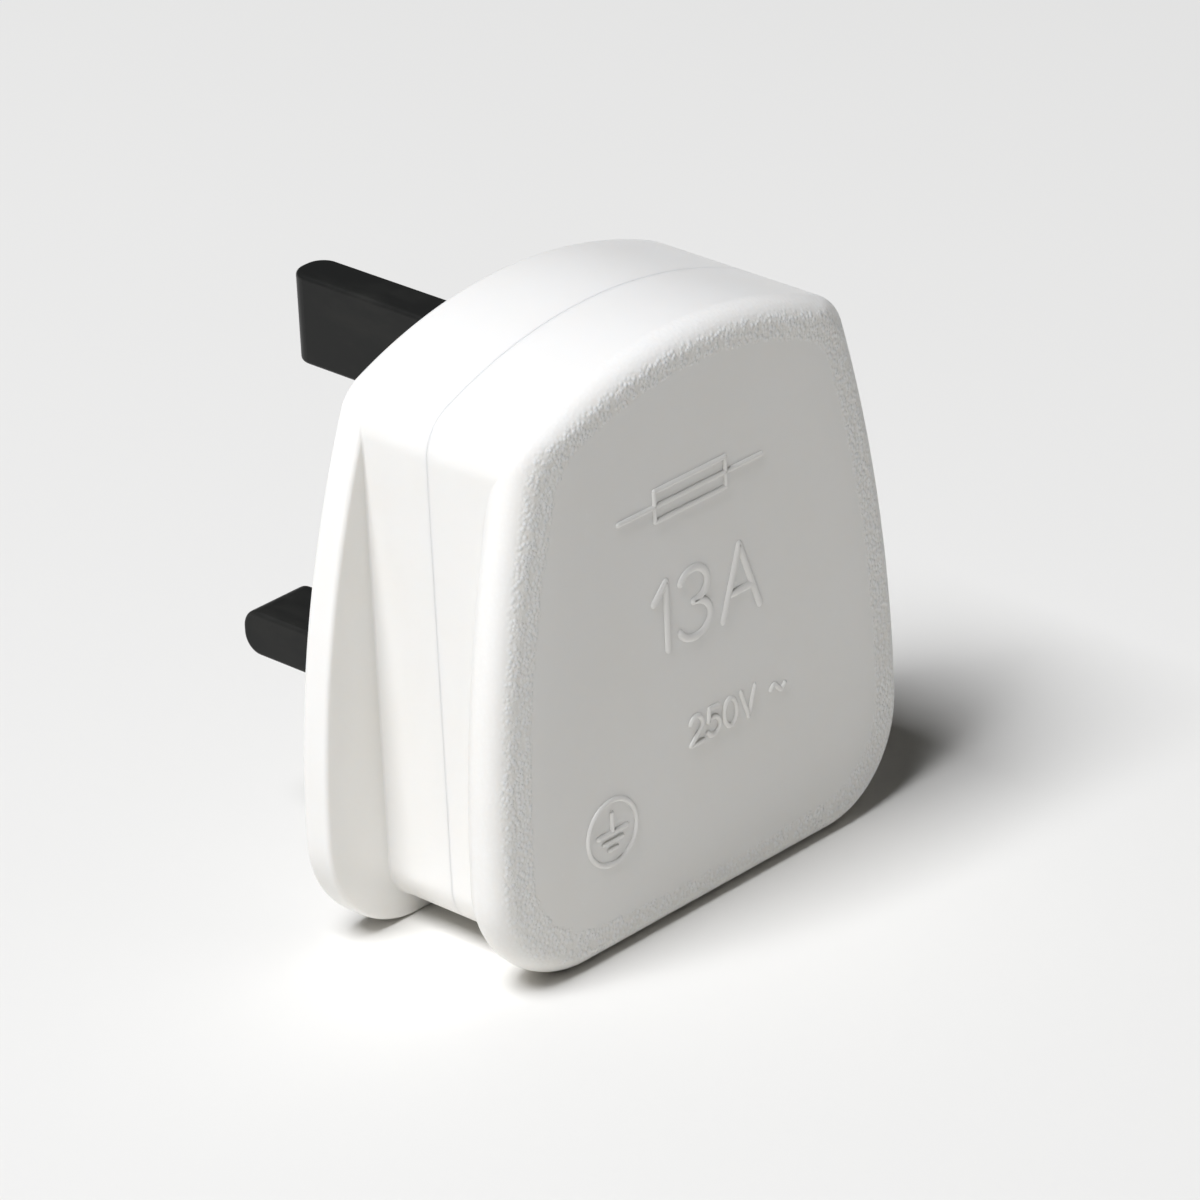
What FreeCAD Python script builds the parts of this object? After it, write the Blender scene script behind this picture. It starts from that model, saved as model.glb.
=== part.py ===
import FreeCAD
import Part
import Sketcher
import math
import os
import re

# A fused three pin mains plug, in millimetres.
# The pins point along +Y, the cover faces -Y, and the earth pin is at the top, towards +Z.
# The origin is on the pin face, half way between the earth pin and the line of the other two.
# "Depth" is measured from the pin face towards the cover, so a depth of d lies at y = -d.

SIZES = [
    # outline of the two shells, seen from the cover
    ("arch_radius", 42.0),
    ("shoulder_radius", 4.0),
    ("waist_half_width", 19.2),
    ("base_half_width", 25.7),
    ("rim_half_width", 24.0),
    ("widest_drop", 20.0),
    ("foot_drop", 29.5),
    ("corner_radius", 9.5),
    ("waist_drop", 27.9),
    ("waist_corner_radius", 4.0),
    # the shells from front to back
    ("flange_thickness", 3.0),
    ("base_depth", 10.0),
    ("rim_flat", 0.2),
    ("rim_rounding", 2.3),
    ("pin_face_rounding", 0.8),
    ("seam_chamfer", 0.12),
    # the smooth panel inside the grained rim
    ("panel_rise", 0.2),
    ("panel_margin", 3.45),
    ("panel_shoulder_inset", 2.8),
    ("panel_shoulder_radius", 6.5),
    ("panel_edge_flat", 0.6),
    ("panel_corner_radius", 8.6),
    ("panel_edge_rounding", 0.15),
    # walls of the hollow inside
    ("side_wall", 2.6),
    ("top_wall", 2.0),
    ("terminal_headroom", 0.65),
    ("foot_wall", 2.4),
    ("panel_wall", 2.8),
    ("cover_headroom", 1.1),
    # the standard pin pattern
    ("pin_pitch", 22.23),
    ("earth_rise", 22.23),
    ("pin_thickness", 4.0),
    ("earth_pin_width", 8.0),
    ("line_pin_width", 6.35),
    ("earth_pin_length", 22.73),
    ("line_pin_length", 17.7),
    ("pin_tip_flat", 0.5),
    ("pin_edge_radius", 0.4),
    ("pin_clearance", 0.1),
    ("sleeve_length", 9.5),
    ("sleeve_wall", 0.5),
    ("sleeve_clearance", 0.02),
    # terminal blocks and feet on the inner ends of the pins
    ("block_width", 7.0),
    ("block_length", 9.2),
    ("block_rise", 9.5),
    ("wire_rise", 5.5),
    ("wire_radius", 1.6),
    ("clamp_shift", 1.9),
    ("foot_thickness", 3.0),
    ("live_foot_below", 5.9),
    ("live_foot_above", 3.5),
    ("live_foot_inner", 4.6),
    ("terminal_gap", 1.0),
    ("terminal_length", 6.6),
    # cartridge fuse and its clips
    ("fuse_length", 25.4),
    ("fuse_radius", 3.15),
    ("fuse_overhang", 6.3),
    ("cap_length", 5.5),
    ("cap_wall", 0.35),
    ("cap_clearance", 0.02),
    ("tube_bore", 2.0),
    ("element_radius", 0.15),
    ("clip_inset", 0.4),
    ("clip_length", 4.5),
    ("clip_thickness", 0.6),
    ("clip_clearance", 0.03),
    ("clip_grip", 1.2),
    ("clip_bend_radius", 2.0),
    # screws
    ("clamp_shank_radius", 1.6),
    ("clamp_shank_length", 3.5),
    ("clamp_head_radius", 2.5),
    ("clamp_head_height", 1.8),
    ("cover_screw_drop", 2.0),
    ("cover_screw_sink", 0.6),
    ("cover_head_radius", 3.0),
    ("cover_head_height", 2.0),
    ("cover_shank_radius", 1.45),
    ("cover_shank_length", 12.9),
    ("grip_shank_radius", 1.3),
    ("grip_shank_length", 10.0),
    ("grip_head_radius", 2.6),
    ("grip_head_height", 1.6),
    ("slot_width", 0.8),
    ("slot_depth", 0.9),
    ("thread_clearance", 0.05),
    ("screw_clearance", 0.25),
    # bosses, washer and threaded bush for the cover screw
    ("base_boss_radius", 4.6),
    ("cover_boss_radius", 4.2),
    ("retainer_radius", 3.0),
    ("retainer_thickness", 0.9),
    ("retainer_clearance", 0.1),
    ("insert_radius", 2.4),
    ("insert_length", 6.0),
    ("insert_sink", 0.3),
    # cord inlet and cord grip
    ("inlet_radius", 4.25),
    ("cord_radius", 3.6),
    ("grip_gap", 0.785),
    ("grip_pitch", 17.0),
    ("grip_boss_radius", 3.0),
    ("grip_boss_depth", 9.5),
    ("grip_bar_length", 23.6),
    ("grip_bar_width", 5.2),
    ("grip_bar_cover", 1.6),
    ("saddle_length", 10.0),
    ("saddle_width", 4.0),
    ("saddle_depth", 8.5),
    # ribs that seat the blocks in the base, and posts in the cover that hold them down
    ("rib_height", 2.5),
    ("rib_thickness", 1.2),
    ("rib_clearance", 0.15),
    ("post_gap", 0.15),
    ("post_width", 4.0),
    ("post_start", 1.2),
    ("post_length", 3.0),
    ("live_post_thickness", 1.2),
]
NAMES = [name for name, number in SIZES]

# Formulas in size names, shared by the pieces that fit each other
CAVITY_HALF = "(waist_half_width - side_wall)"
CAVITY_LOW = "(-waist_drop + foot_wall)"
EARTH_Z = "(earth_rise / 2)"
LINE_Z = "(-earth_rise / 2)"
LIVE_X = "(pin_pitch / 2)"
NEUTRAL_X = "(-pin_pitch / 2)"
# the pins' tips are round across their thickness, down to a narrow flat
NOSE_RADIUS = "((pin_thickness - pin_tip_flat) / 2)"
BLOCK_TOP = "(flange_thickness + block_rise)"
WIRE_DEPTH = "(flange_thickness + wire_rise)"
FOOT_TOP = "(flange_thickness + foot_thickness)"
SEAT_RADIUS = "(fuse_radius + clip_clearance)"
FUSE_DEPTH = f"({FOOT_TOP} + clip_thickness + {SEAT_RADIUS})"
FUSE_LOW = f"({LINE_Z} - fuse_overhang)"
FUSE_HIGH = f"({FUSE_LOW} + fuse_length)"
LOWER_CLIP_Z = f"({FUSE_LOW} + clip_inset)"
UPPER_CLIP_Z = f"({FUSE_HIGH} - clip_inset - clip_length)"
TERMINAL_LOW = f"({FUSE_HIGH} + terminal_gap)"
TERMINAL_HIGH = f"({TERMINAL_LOW} + terminal_length)"
TERMINAL_WIRE_Z = f"({TERMINAL_LOW} + terminal_length / 2)"
TERMINAL_CORNER = f"({LIVE_X} + block_width / 2)"
# the arched top clears the outer corner of the live terminal, so it rises with a longer fuse
ARCH_HEIGHT = (f"({TERMINAL_HIGH} + terminal_headroom"
               f" - sqrt((arch_radius - top_wall)^2 - {TERMINAL_CORNER}^2))")
SCREW_Z = "(-cover_screw_drop)"
SCREW_SEAT = "(cover_screw_sink + cover_head_height)"
# the cord grip sits just below the fuse
GRIP_Z = f"({FUSE_LOW} - grip_gap - grip_bar_width / 2)"
GRIP_X = "(grip_pitch / 2)"
GRIP_TOP = "(base_depth + cord_radius + grip_bar_cover)"
# the cover clears the heads of the cord grip's screws, which stand highest
CAVITY_FRONT = f"({GRIP_TOP} + grip_head_height + cover_headroom)"
PLUG_DEPTH = f"({CAVITY_FRONT} + panel_wall)"
RIM_FRONT = f"({PLUG_DEPTH} - panel_rise)"
RIM_BACK = f"({RIM_FRONT} - 2 * rim_rounding - rim_flat)"
# a narrow flat is left between the rim's rounding and the panel's top and foot
PANEL_INSET = "(rim_rounding + panel_edge_flat)"
RIM_MIDDLE = f"({RIM_FRONT} - rim_rounding - rim_flat / 2)"

doc = FreeCAD.newDocument("plug")
sheet = doc.addObject("Spreadsheet::Sheet", "Sizes")
for row, (name, number) in enumerate(SIZES, start=1):
    sheet.set(f"A{row}", name)
    sheet.set(f"B{row}", str(number))
    sheet.setAlias(f"B{row}", name)
doc.recompute()


# Small helpers

def cells(formula):
    """Turns a formula in size names into one that reads the sheet's cells."""
    def cell(word):
        return "Sizes." + word.group(0) if word.group(0) in NAMES else word.group(0)
    return re.sub(r"[a-z_]+", cell, formula)


def number_of(formula):
    """The present value of a formula in size names."""
    return float(sheet.evalExpression(cells(formula)))


def new_body(label, x="0", depth="0", z="0"):
    """A body whose own origin stands at x, depth and z."""
    body = doc.addObject("PartDesign::Body", label)
    body.Label = label
    body.setExpression("Placement.Base.x", cells(x))
    body.setExpression("Placement.Base.y", cells(f"-({depth})"))
    body.setExpression("Placement.Base.z", cells(z))
    return body


def new_sketch(body, role, offset="0"):
    """A sketch on one of the body's own planes, moved along the plane's normal."""
    plane = next(item for item in body.Origin.OriginFeatures if item.Role == role)
    sketch = body.newObject("Sketcher::SketchObject", body.Label + "_sketch")
    sketch.AttachmentSupport = [(plane, "")]
    sketch.MapMode = "FlatFace"
    sketch.setExpression("AttachmentOffset.Base.z", cells(offset))
    return sketch


def at_depth(body, depth):
    """A sketch seen from the cover, X to the right and Z up, at a depth behind the pin face."""
    return new_sketch(body, "XZ_Plane", depth)


def at_height(body, height):
    """A sketch seen from above, X to the right and Y away, at a height."""
    return new_sketch(body, "XY_Plane", height)


def dimension(sketch, kind, places, formula):
    """A constraint whose number follows a formula."""
    index = sketch.addConstraint(Sketcher.Constraint(kind, *places, number_of(formula)))
    sketch.setExpression(f"Constraints[{index}]", cells(formula))


def fix_point(sketch, element, end, x, y):
    """Holds one point of an element at x and y from the sketch's origin."""
    for formula, kind, axis in ((x, "DistanceX", -2), (y, "DistanceY", -1)):
        if formula == "0":
            sketch.addConstraint(Sketcher.Constraint("PointOnObject", element, end, axis))
        else:
            dimension(sketch, kind, (-1, 1, element, end), formula)


def polygon(sketch, corners):
    """A closed run of straight lines through corners given as formulas."""
    points = [FreeCAD.Vector(number_of(x), number_of(y), 0) for x, y in corners]
    first = sketch.GeometryCount
    count = len(points)
    for i in range(count):
        sketch.addGeometry(Part.LineSegment(points[i], points[(i + 1) % count]))
    for i in range(count):
        sketch.addConstraint(
            Sketcher.Constraint("Coincident", first + i, 2, first + (i + 1) % count, 1))
    for i, (x, y) in enumerate(corners):
        fix_point(sketch, first + i, 1, x, y)


def rectangle(sketch, left, right, low, high):
    polygon(sketch, [(left, low), (right, low), (right, high), (left, high)])


def centred_rectangle(sketch, x, y, width, height):
    rectangle(sketch, f"{x} - ({width}) / 2", f"{x} + ({width}) / 2",
              f"{y} - ({height}) / 2", f"{y} + ({height}) / 2")


def circle(sketch, x, y, radius):
    centre = FreeCAD.Vector(number_of(x), number_of(y), 0)
    up = FreeCAD.Vector(0, 0, 1)
    index = sketch.addGeometry(Part.Circle(centre, up, number_of(radius)))
    fix_point(sketch, index, 3, x, y)
    dimension(sketch, "Radius", (index,), radius)


def arc(sketch, x, y, radius, start, end):
    """An arc from one angle to the next, anticlockwise, and its number in the sketch."""
    whole = Part.Circle(FreeCAD.Vector(x, y, 0), FreeCAD.Vector(0, 0, 1), radius)
    return sketch.addGeometry(Part.ArcOfCircle(whole, start, end))


def extrude(body, kind, sketch, length, towards_cover=True):
    """A pad or a pocket from a sketch seen from the cover."""
    feature = body.newObject(kind, body.Label + "_step")
    feature.Profile = sketch
    feature.setExpression("Length", cells(length))
    along_normal = kind == "PartDesign::Pad"
    feature.Reversed = towards_cover != along_normal
    sketch.Visibility = False
    doc.recompute()
    return feature


def pad(body, sketch, length, towards_cover=True):
    return extrude(body, "PartDesign::Pad", sketch, length, towards_cover)


def pocket(body, sketch, length, towards_cover=True):
    before = body.Shape.Volume
    feature = extrude(body, "PartDesign::Pocket", sketch, length, towards_cover)
    if not body.Shape.Volume < before:
        raise ValueError(f"a pocket of {body.Label} cuts nothing")
    return feature


def edges_of(feature, wanted):
    """Names of the edges of a feature that pass a test."""
    return [f"Edge{i}" for i, edge in enumerate(feature.Shape.Edges, start=1) if wanted(edge)]


def lies_at_depth(depth):
    """A test for edges that lie in the plane at a depth."""
    y = -number_of(depth)
    return lambda edge: max(abs(edge.BoundBox.YMin - y), abs(edge.BoundBox.YMax - y)) < 1e-4


def runs_along_y(edge):
    box = edge.BoundBox
    return box.YLength > 1e-4 and max(box.XLength, box.ZLength) < 1e-4


def soften(body, kind, feature, wanted, size, property_name):
    """A fillet or chamfer on the edges of a feature that pass a test."""
    step = body.newObject(kind, body.Label + "_edge")
    step.Base = (feature, edges_of(feature, wanted))
    step.setExpression(property_name, cells(size))
    doc.recompute()
    return step


def fillet(body, feature, wanted, radius):
    return soften(body, "PartDesign::Fillet", feature, wanted, radius, "Radius")


def chamfer(body, feature, wanted, size):
    return soften(body, "PartDesign::Chamfer", feature, wanted, size, "Size")


def turned(label, role, profile, x="0", depth="0", z="0"):
    """A turned piece: radius and height pairs, spun round the vertical axis of their sketch."""
    body = new_body(label, x, depth, z)
    sketch = new_sketch(body, role)
    polygon(sketch, profile)
    spin = body.newObject("PartDesign::Revolution", label + "_turn")
    spin.Profile = sketch
    spin.ReferenceAxis = (sketch, ["V_Axis"])
    spin.Angle = 360
    sketch.Visibility = False
    doc.recompute()
    return body


# Outlines of the shells, seen from the cover

def shell_outline(sketch, half_width, low, corner, inset="0", shoulder="shoulder_radius",
                  shoulder_inset="0", straight=False):
    """Arched top, rounded shoulders, long curved sides and rounded lower corners, as one closed line.

    The sides bulge to half_width at the widest height, or stay straight and upright.
    """
    crown = f"(arch_radius - {inset})"
    shoulder_x = f"(waist_half_width - {shoulder_inset} - {shoulder})"
    shoulder_z = f"({ARCH_HEIGHT} + sqrt(({crown} - {shoulder})^2 - {shoulder_x}^2))"
    widest = "(-widest_drop)"
    reach = f"({half_width} - {shoulder_x})"
    side = f"(({reach}^2 + ({shoulder_z} - {widest})^2 - {shoulder}^2) / (2 * ({reach} - {shoulder})))"
    if straight:
        side = "0"
    side_x = f"({half_width} - {side})"

    arch_y, crown_r, shoulder_r, corner_r, side_r, foot = (
        number_of(formula) for formula in (ARCH_HEIGHT, crown, shoulder, corner, side, low))
    shoulder_at = FreeCAD.Vector(number_of(shoulder_x), number_of(shoulder_z), 0)
    top_turn = math.atan2(shoulder_at.y - arch_y, shoulder_at.x)
    corner_y = foot + corner_r
    if straight:
        side_turn = 0.0
        foot_turn = 0.0
        corner_x = number_of(half_width) - corner_r
    else:
        side_at = FreeCAD.Vector(number_of(side_x), number_of(widest), 0)
        side_turn = math.atan2(shoulder_at.y - side_at.y, shoulder_at.x - side_at.x)
        corner_x = side_at.x + math.sqrt((side_r - corner_r) ** 2 - (corner_y - side_at.y) ** 2)
        foot_turn = math.atan2(corner_y - side_at.y, corner_x - side_at.x)

    half_turn = math.pi
    edge_x = number_of(half_width)
    top = arc(sketch, 0, arch_y, crown_r, top_turn, half_turn - top_turn)
    left_shoulder = arc(sketch, -shoulder_at.x, shoulder_at.y, shoulder_r,
                        half_turn - top_turn, half_turn - side_turn)
    if straight:
        left_side = sketch.addGeometry(Part.LineSegment(
            FreeCAD.Vector(-edge_x, shoulder_at.y, 0), FreeCAD.Vector(-edge_x, corner_y, 0)))
    else:
        left_side = arc(sketch, -side_at.x, side_at.y, side_r,
                        half_turn - side_turn, half_turn - foot_turn)
    left_corner = arc(sketch, -corner_x, corner_y, corner_r, half_turn - foot_turn, 1.5 * half_turn)
    bottom = sketch.addGeometry(Part.LineSegment(
        FreeCAD.Vector(-corner_x, foot, 0), FreeCAD.Vector(corner_x, foot, 0)))
    right_corner = arc(sketch, corner_x, corner_y, corner_r, -half_turn / 2, foot_turn)
    if straight:
        right_side = sketch.addGeometry(Part.LineSegment(
            FreeCAD.Vector(edge_x, corner_y, 0), FreeCAD.Vector(edge_x, shoulder_at.y, 0)))
    else:
        right_side = arc(sketch, side_at.x, side_at.y, side_r, foot_turn, side_turn)
    right_shoulder = arc(sketch, shoulder_at.x, shoulder_at.y, shoulder_r, side_turn, top_turn)

    ring = [top, left_shoulder, left_side, left_corner, bottom, right_corner, right_side, right_shoulder]
    for i, element in enumerate(ring):
        sketch.addConstraint(Sketcher.Constraint("Tangent", element, 2, ring[(i + 1) % len(ring)], 1))
    fix_point(sketch, top, 3, "0", ARCH_HEIGHT)
    dimension(sketch, "Radius", (top,), crown)
    for element in (left_shoulder, right_shoulder):
        dimension(sketch, "Radius", (element,), shoulder)
    for element in (left_corner, right_corner):
        dimension(sketch, "Radius", (element,), corner)
    for element, sign in ((left_side, "-"), (right_side, "")):
        if straight:
            sketch.addConstraint(Sketcher.Constraint("Vertical", element))
            dimension(sketch, "DistanceX", (-1, 1, element, 1), f"{sign}{half_width}")
        else:
            dimension(sketch, "Radius", (element,), side)
            fix_point(sketch, element, 3, f"{sign}{side_x}", widest)
    sketch.addConstraint(Sketcher.Constraint("Horizontal", bottom))
    dimension(sketch, "DistanceY", (-1, 1, bottom, 1), low)


def flange_outline(sketch):
    shell_outline(sketch, "base_half_width", "(-foot_drop)", "corner_radius")


def rim_outline(sketch):
    shell_outline(sketch, "rim_half_width", "(-foot_drop)", "corner_radius")


def panel_outline(sketch):
    shell_outline(sketch, "(rim_half_width - panel_margin)", f"(-foot_drop + {PANEL_INSET})",
                  "panel_corner_radius", inset=PANEL_INSET, shoulder="panel_shoulder_radius",
                  shoulder_inset="panel_shoulder_inset")


def waist_outline(sketch):
    shell_outline(sketch, "waist_half_width", "(-waist_drop)", "waist_corner_radius", straight=True)


def cavity_outline(sketch):
    """Straight sides and floor under an arch that keeps the top wall's thickness."""
    half, low, centre, radius = (
        number_of(formula) for formula in
        (CAVITY_HALF, CAVITY_LOW, ARCH_HEIGHT, "arch_radius - top_wall"))
    turn = math.acos(half / radius)
    spring = centre + radius * math.sin(turn)
    top = arc(sketch, 0, centre, radius, turn, math.pi - turn)
    corners = [(-half, spring), (-half, low), (half, low), (half, spring)]
    points = [FreeCAD.Vector(x, z, 0) for x, z in corners]
    lines = [sketch.addGeometry(Part.LineSegment(points[i], points[i + 1])) for i in range(3)]
    ring = [top, *lines]
    for i, element in enumerate(ring):
        sketch.addConstraint(Sketcher.Constraint("Coincident", element, 2, ring[(i + 1) % 4], 1))
    fix_point(sketch, top, 3, "0", ARCH_HEIGHT)
    dimension(sketch, "Radius", (top,), "arch_radius - top_wall")
    left, bottom, right = lines
    for element, sign in ((left, "-"), (right, "")):
        sketch.addConstraint(Sketcher.Constraint("Vertical", element))
        dimension(sketch, "DistanceX", (-1, 1, element, 1), f"{sign}{CAVITY_HALF}")
    sketch.addConstraint(Sketcher.Constraint("Horizontal", bottom))
    dimension(sketch, "DistanceY", (-1, 1, bottom, 1), CAVITY_LOW)


# The seats of the blocks and feet on the base's floor: left, right, low, high

HALF_BLOCK = "block_width / 2"
EARTH_SEAT = (f"-{HALF_BLOCK}", HALF_BLOCK,
              f"{EARTH_Z} - block_length / 2", f"{EARTH_Z} + block_length / 2")
NEUTRAL_SEAT = (f"{NEUTRAL_X} - {HALF_BLOCK}", f"{NEUTRAL_X} + {HALF_BLOCK}",
                f"{LINE_Z} - block_length / 2", f"{LINE_Z} + block_length / 2")
LIVE_SEAT = (f"{LIVE_X} - live_foot_inner", f"{LIVE_X} + {HALF_BLOCK}",
             f"{LINE_Z} - live_foot_below", f"{LINE_Z} + live_foot_above")
TERMINAL_SEAT = (f"{LIVE_X} - {HALF_BLOCK}", f"{LIVE_X} + {HALF_BLOCK}", UPPER_CLIP_Z, TERMINAL_HIGH)


def grown(seat, margin):
    """A seat made larger by a margin on every side."""
    left, right, low, high = seat
    return f"{left} - ({margin})", f"{right} + ({margin})", f"{low} - ({margin})", f"{high} + ({margin})"


# Shells

def make_base():
    body = new_body("base")
    flange = at_depth(body, "0")
    flange_outline(flange)
    plate = pad(body, flange, "flange_thickness")
    fillet(body, plate, lies_at_depth("0"), "pin_face_rounding")
    waist = at_depth(body, "flange_thickness")
    waist_outline(waist)
    wall = pad(body, waist, "base_depth - flange_thickness")
    chamfer(body, wall, lies_at_depth("base_depth"), "seam_chamfer")
    hollow = at_depth(body, "base_depth")
    cavity_outline(hollow)
    pocket(body, hollow, "base_depth - flange_thickness", towards_cover=False)

    ribs = at_depth(body, "flange_thickness")
    for seat in (EARTH_SEAT, NEUTRAL_SEAT, LIVE_SEAT, TERMINAL_SEAT):
        rectangle(ribs, *grown(seat, "rib_clearance + rib_thickness"))
        rectangle(ribs, *grown(seat, "rib_clearance"))
    pad(body, ribs, "rib_height")
    saddle = at_depth(body, "flange_thickness")
    centred_rectangle(saddle, "0", GRIP_Z, "saddle_length", "saddle_width")
    pad(body, saddle, "saddle_depth - flange_thickness")
    groove = at_height(body, f"{GRIP_Z} - saddle_width")
    circle(groove, "0", "-base_depth", "cord_radius")
    pocket(body, groove, "2 * saddle_width", towards_cover=True)
    bosses = at_depth(body, "flange_thickness")
    for sign in ("-", ""):
        circle(bosses, f"{sign}{GRIP_X}", GRIP_Z, "grip_boss_radius")
    pad(body, bosses, "grip_boss_depth - flange_thickness")
    boss = at_depth(body, "flange_thickness")
    circle(boss, "0", SCREW_Z, "base_boss_radius")
    pad(body, boss, "base_depth - flange_thickness")

    pin_holes = at_depth(body, "0")
    centred_rectangle(pin_holes, "0", EARTH_Z,
                      "pin_thickness + 2 * pin_clearance", "earth_pin_width + 2 * pin_clearance")
    for x in (NEUTRAL_X, LIVE_X):
        centred_rectangle(pin_holes, x, LINE_Z,
                          "line_pin_width + 2 * pin_clearance", "pin_thickness + 2 * pin_clearance")
    pocket(body, pin_holes, "flange_thickness")
    screw_hole = at_depth(body, "0")
    circle(screw_hole, "0", SCREW_Z, "cover_shank_radius + screw_clearance")
    pocket(body, screw_hole, "base_depth")
    counterbore = at_depth(body, "0")
    circle(counterbore, "0", SCREW_Z, "cover_head_radius + screw_clearance")
    pocket(body, counterbore, SCREW_SEAT)
    washer_seat = at_depth(body, "base_depth")
    circle(washer_seat, "0", SCREW_Z, "retainer_radius + retainer_clearance")
    pocket(body, washer_seat, "retainer_thickness + retainer_clearance", towards_cover=False)
    grip_holes = at_depth(body, "grip_boss_depth")
    for sign in ("-", ""):
        circle(grip_holes, f"{sign}{GRIP_X}", GRIP_Z, "grip_shank_radius + thread_clearance")
    pocket(body, grip_holes, "grip_boss_depth - flange_thickness", towards_cover=False)
    cut_inlet(body)
    return body


def cut_inlet(body):
    """The round way in for the cord, half in each shell, through the lower wall."""
    inlet = at_height(body, "-foot_drop")
    circle(inlet, "0", "-base_depth", "inlet_radius")
    pocket(body, inlet, f"{CAVITY_LOW} + foot_drop", towards_cover=True)


def make_cover():
    body = new_body("cover")
    rim = at_depth(body, RIM_BACK)
    rim_outline(rim)
    bead = pad(body, rim, f"{RIM_FRONT} - {RIM_BACK}")
    front = lies_at_depth(RIM_FRONT)
    back = lies_at_depth(RIM_BACK)
    fillet(body, bead, lambda edge: front(edge) or back(edge), "rim_rounding")
    waist = at_depth(body, "base_depth")
    waist_outline(waist)
    wall = pad(body, waist, f"{RIM_MIDDLE} - base_depth")
    chamfer(body, wall, lies_at_depth("base_depth"), "seam_chamfer")
    panel = at_depth(body, RIM_FRONT)
    panel_outline(panel)
    pillow = pad(body, panel, "panel_rise")
    fillet(body, pillow, lies_at_depth(PLUG_DEPTH), "panel_edge_rounding")
    hollow = at_depth(body, "base_depth")
    cavity_outline(hollow)
    pocket(body, hollow, f"{CAVITY_FRONT} - base_depth")

    boss = at_depth(body, "base_depth")
    circle(boss, "0", SCREW_Z, "cover_boss_radius")
    pad(body, boss, f"{CAVITY_FRONT} - base_depth")
    posts = at_depth(body, CAVITY_FRONT)
    for x, z in (("0", EARTH_Z), (NEUTRAL_X, LINE_Z)):
        rectangle(posts, f"{x} - post_width / 2", f"{x} + post_width / 2",
                  f"{z} + post_start", f"{z} + post_start + post_length")
    pad(body, posts, f"{CAVITY_FRONT} - {BLOCK_TOP} - post_gap", towards_cover=False)
    live_post = at_depth(body, CAVITY_FRONT)
    left, right, low, high = LIVE_SEAT
    rectangle(live_post, f"{left} + post_gap", f"{left} + post_gap + live_post_thickness",
              f"{high} - post_gap - post_length", f"{high} - post_gap")
    pad(body, live_post, f"{CAVITY_FRONT} - {FOOT_TOP} - post_gap", towards_cover=False)
    insert_hole = at_depth(body, "base_depth")
    circle(insert_hole, "0", SCREW_Z, "insert_radius + thread_clearance")
    pocket(body, insert_hole, "insert_sink + insert_length")
    cut_inlet(body)
    return body


# Pins, sleeves and terminals

def shape_tip(body, feature, tip_y, width):
    """Rounds the end of a pin across its thickness, then softens the edges of its two narrow sides."""
    tip = lies_at_depth(f"-({tip_y})")
    across = number_of(width)
    nose = fillet(body, feature, lambda edge: tip(edge) and abs(edge.Length - across) < 1e-4, NOSE_RADIUS)
    root = number_of(tip_y) - number_of(NOSE_RADIUS)

    def is_side_edge(edge):
        box = edge.BoundBox
        on_nose = box.YMin > root - 1e-4 and min(box.XLength, box.ZLength) < 1e-4
        return on_nose and edge.Length < across - 1e-4 or runs_along_y(edge) and box.YMax > 1e-4

    fillet(body, nose, is_side_edge, "pin_edge_radius")


def drill_wire_and_clamp(body, x, block_low, screw_z):
    """The wire's way up through a block, and the clamp screw's hole into it."""
    wire = at_height(body, block_low)
    circle(wire, x, f"-{WIRE_DEPTH}", "wire_radius")
    pocket(body, wire, "block_length", towards_cover=True)
    drill_clamp(body, x, screw_z)


def drill_clamp(body, x, screw_z):
    screw = at_depth(body, BLOCK_TOP)
    circle(screw, x, screw_z, "clamp_shank_radius + thread_clearance")
    pocket(body, screw, f"{BLOCK_TOP} - {WIRE_DEPTH}", towards_cover=False)


def make_earth_pin():
    body = new_body("earth_pin")
    blade = at_depth(body, "flange_thickness")
    centred_rectangle(blade, "0", EARTH_Z, "pin_thickness", "earth_pin_width")
    bar = pad(body, blade, "flange_thickness + earth_pin_length", towards_cover=False)
    shape_tip(body, bar, "earth_pin_length", "earth_pin_width")
    block = at_depth(body, "flange_thickness")
    rectangle(block, *EARTH_SEAT)
    pad(body, block, "block_rise")
    drill_wire_and_clamp(body, "0", EARTH_SEAT[2], f"{EARTH_Z} - clamp_shift")
    return body


def make_line_blade(body, x):
    """A live or neutral blade: full section beyond the sleeve, and a thinner root inside it."""
    blade = at_depth(body, "-sleeve_length")
    centred_rectangle(blade, x, LINE_Z, "line_pin_width", "pin_thickness")
    bar = pad(body, blade, "line_pin_length - sleeve_length", towards_cover=False)
    shape_tip(body, bar, "line_pin_length", "line_pin_width")
    root = at_depth(body, "flange_thickness")
    centred_rectangle(root, x, LINE_Z,
                      "line_pin_width - 2 * sleeve_wall", "pin_thickness - 2 * sleeve_wall")
    pad(body, root, "flange_thickness + sleeve_length", towards_cover=False)


def make_neutral_pin():
    body = new_body("neutral_pin")
    make_line_blade(body, NEUTRAL_X)
    block = at_depth(body, "flange_thickness")
    rectangle(block, *NEUTRAL_SEAT)
    pad(body, block, "block_rise")
    drill_wire_and_clamp(body, NEUTRAL_X, NEUTRAL_SEAT[2], f"{LINE_Z} - clamp_shift")
    return body


def make_live_pin():
    body = new_body("live_pin")
    make_line_blade(body, LIVE_X)
    foot = at_depth(body, "flange_thickness")
    rectangle(foot, *LIVE_SEAT)
    pad(body, foot, "foot_thickness")
    return body


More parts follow.
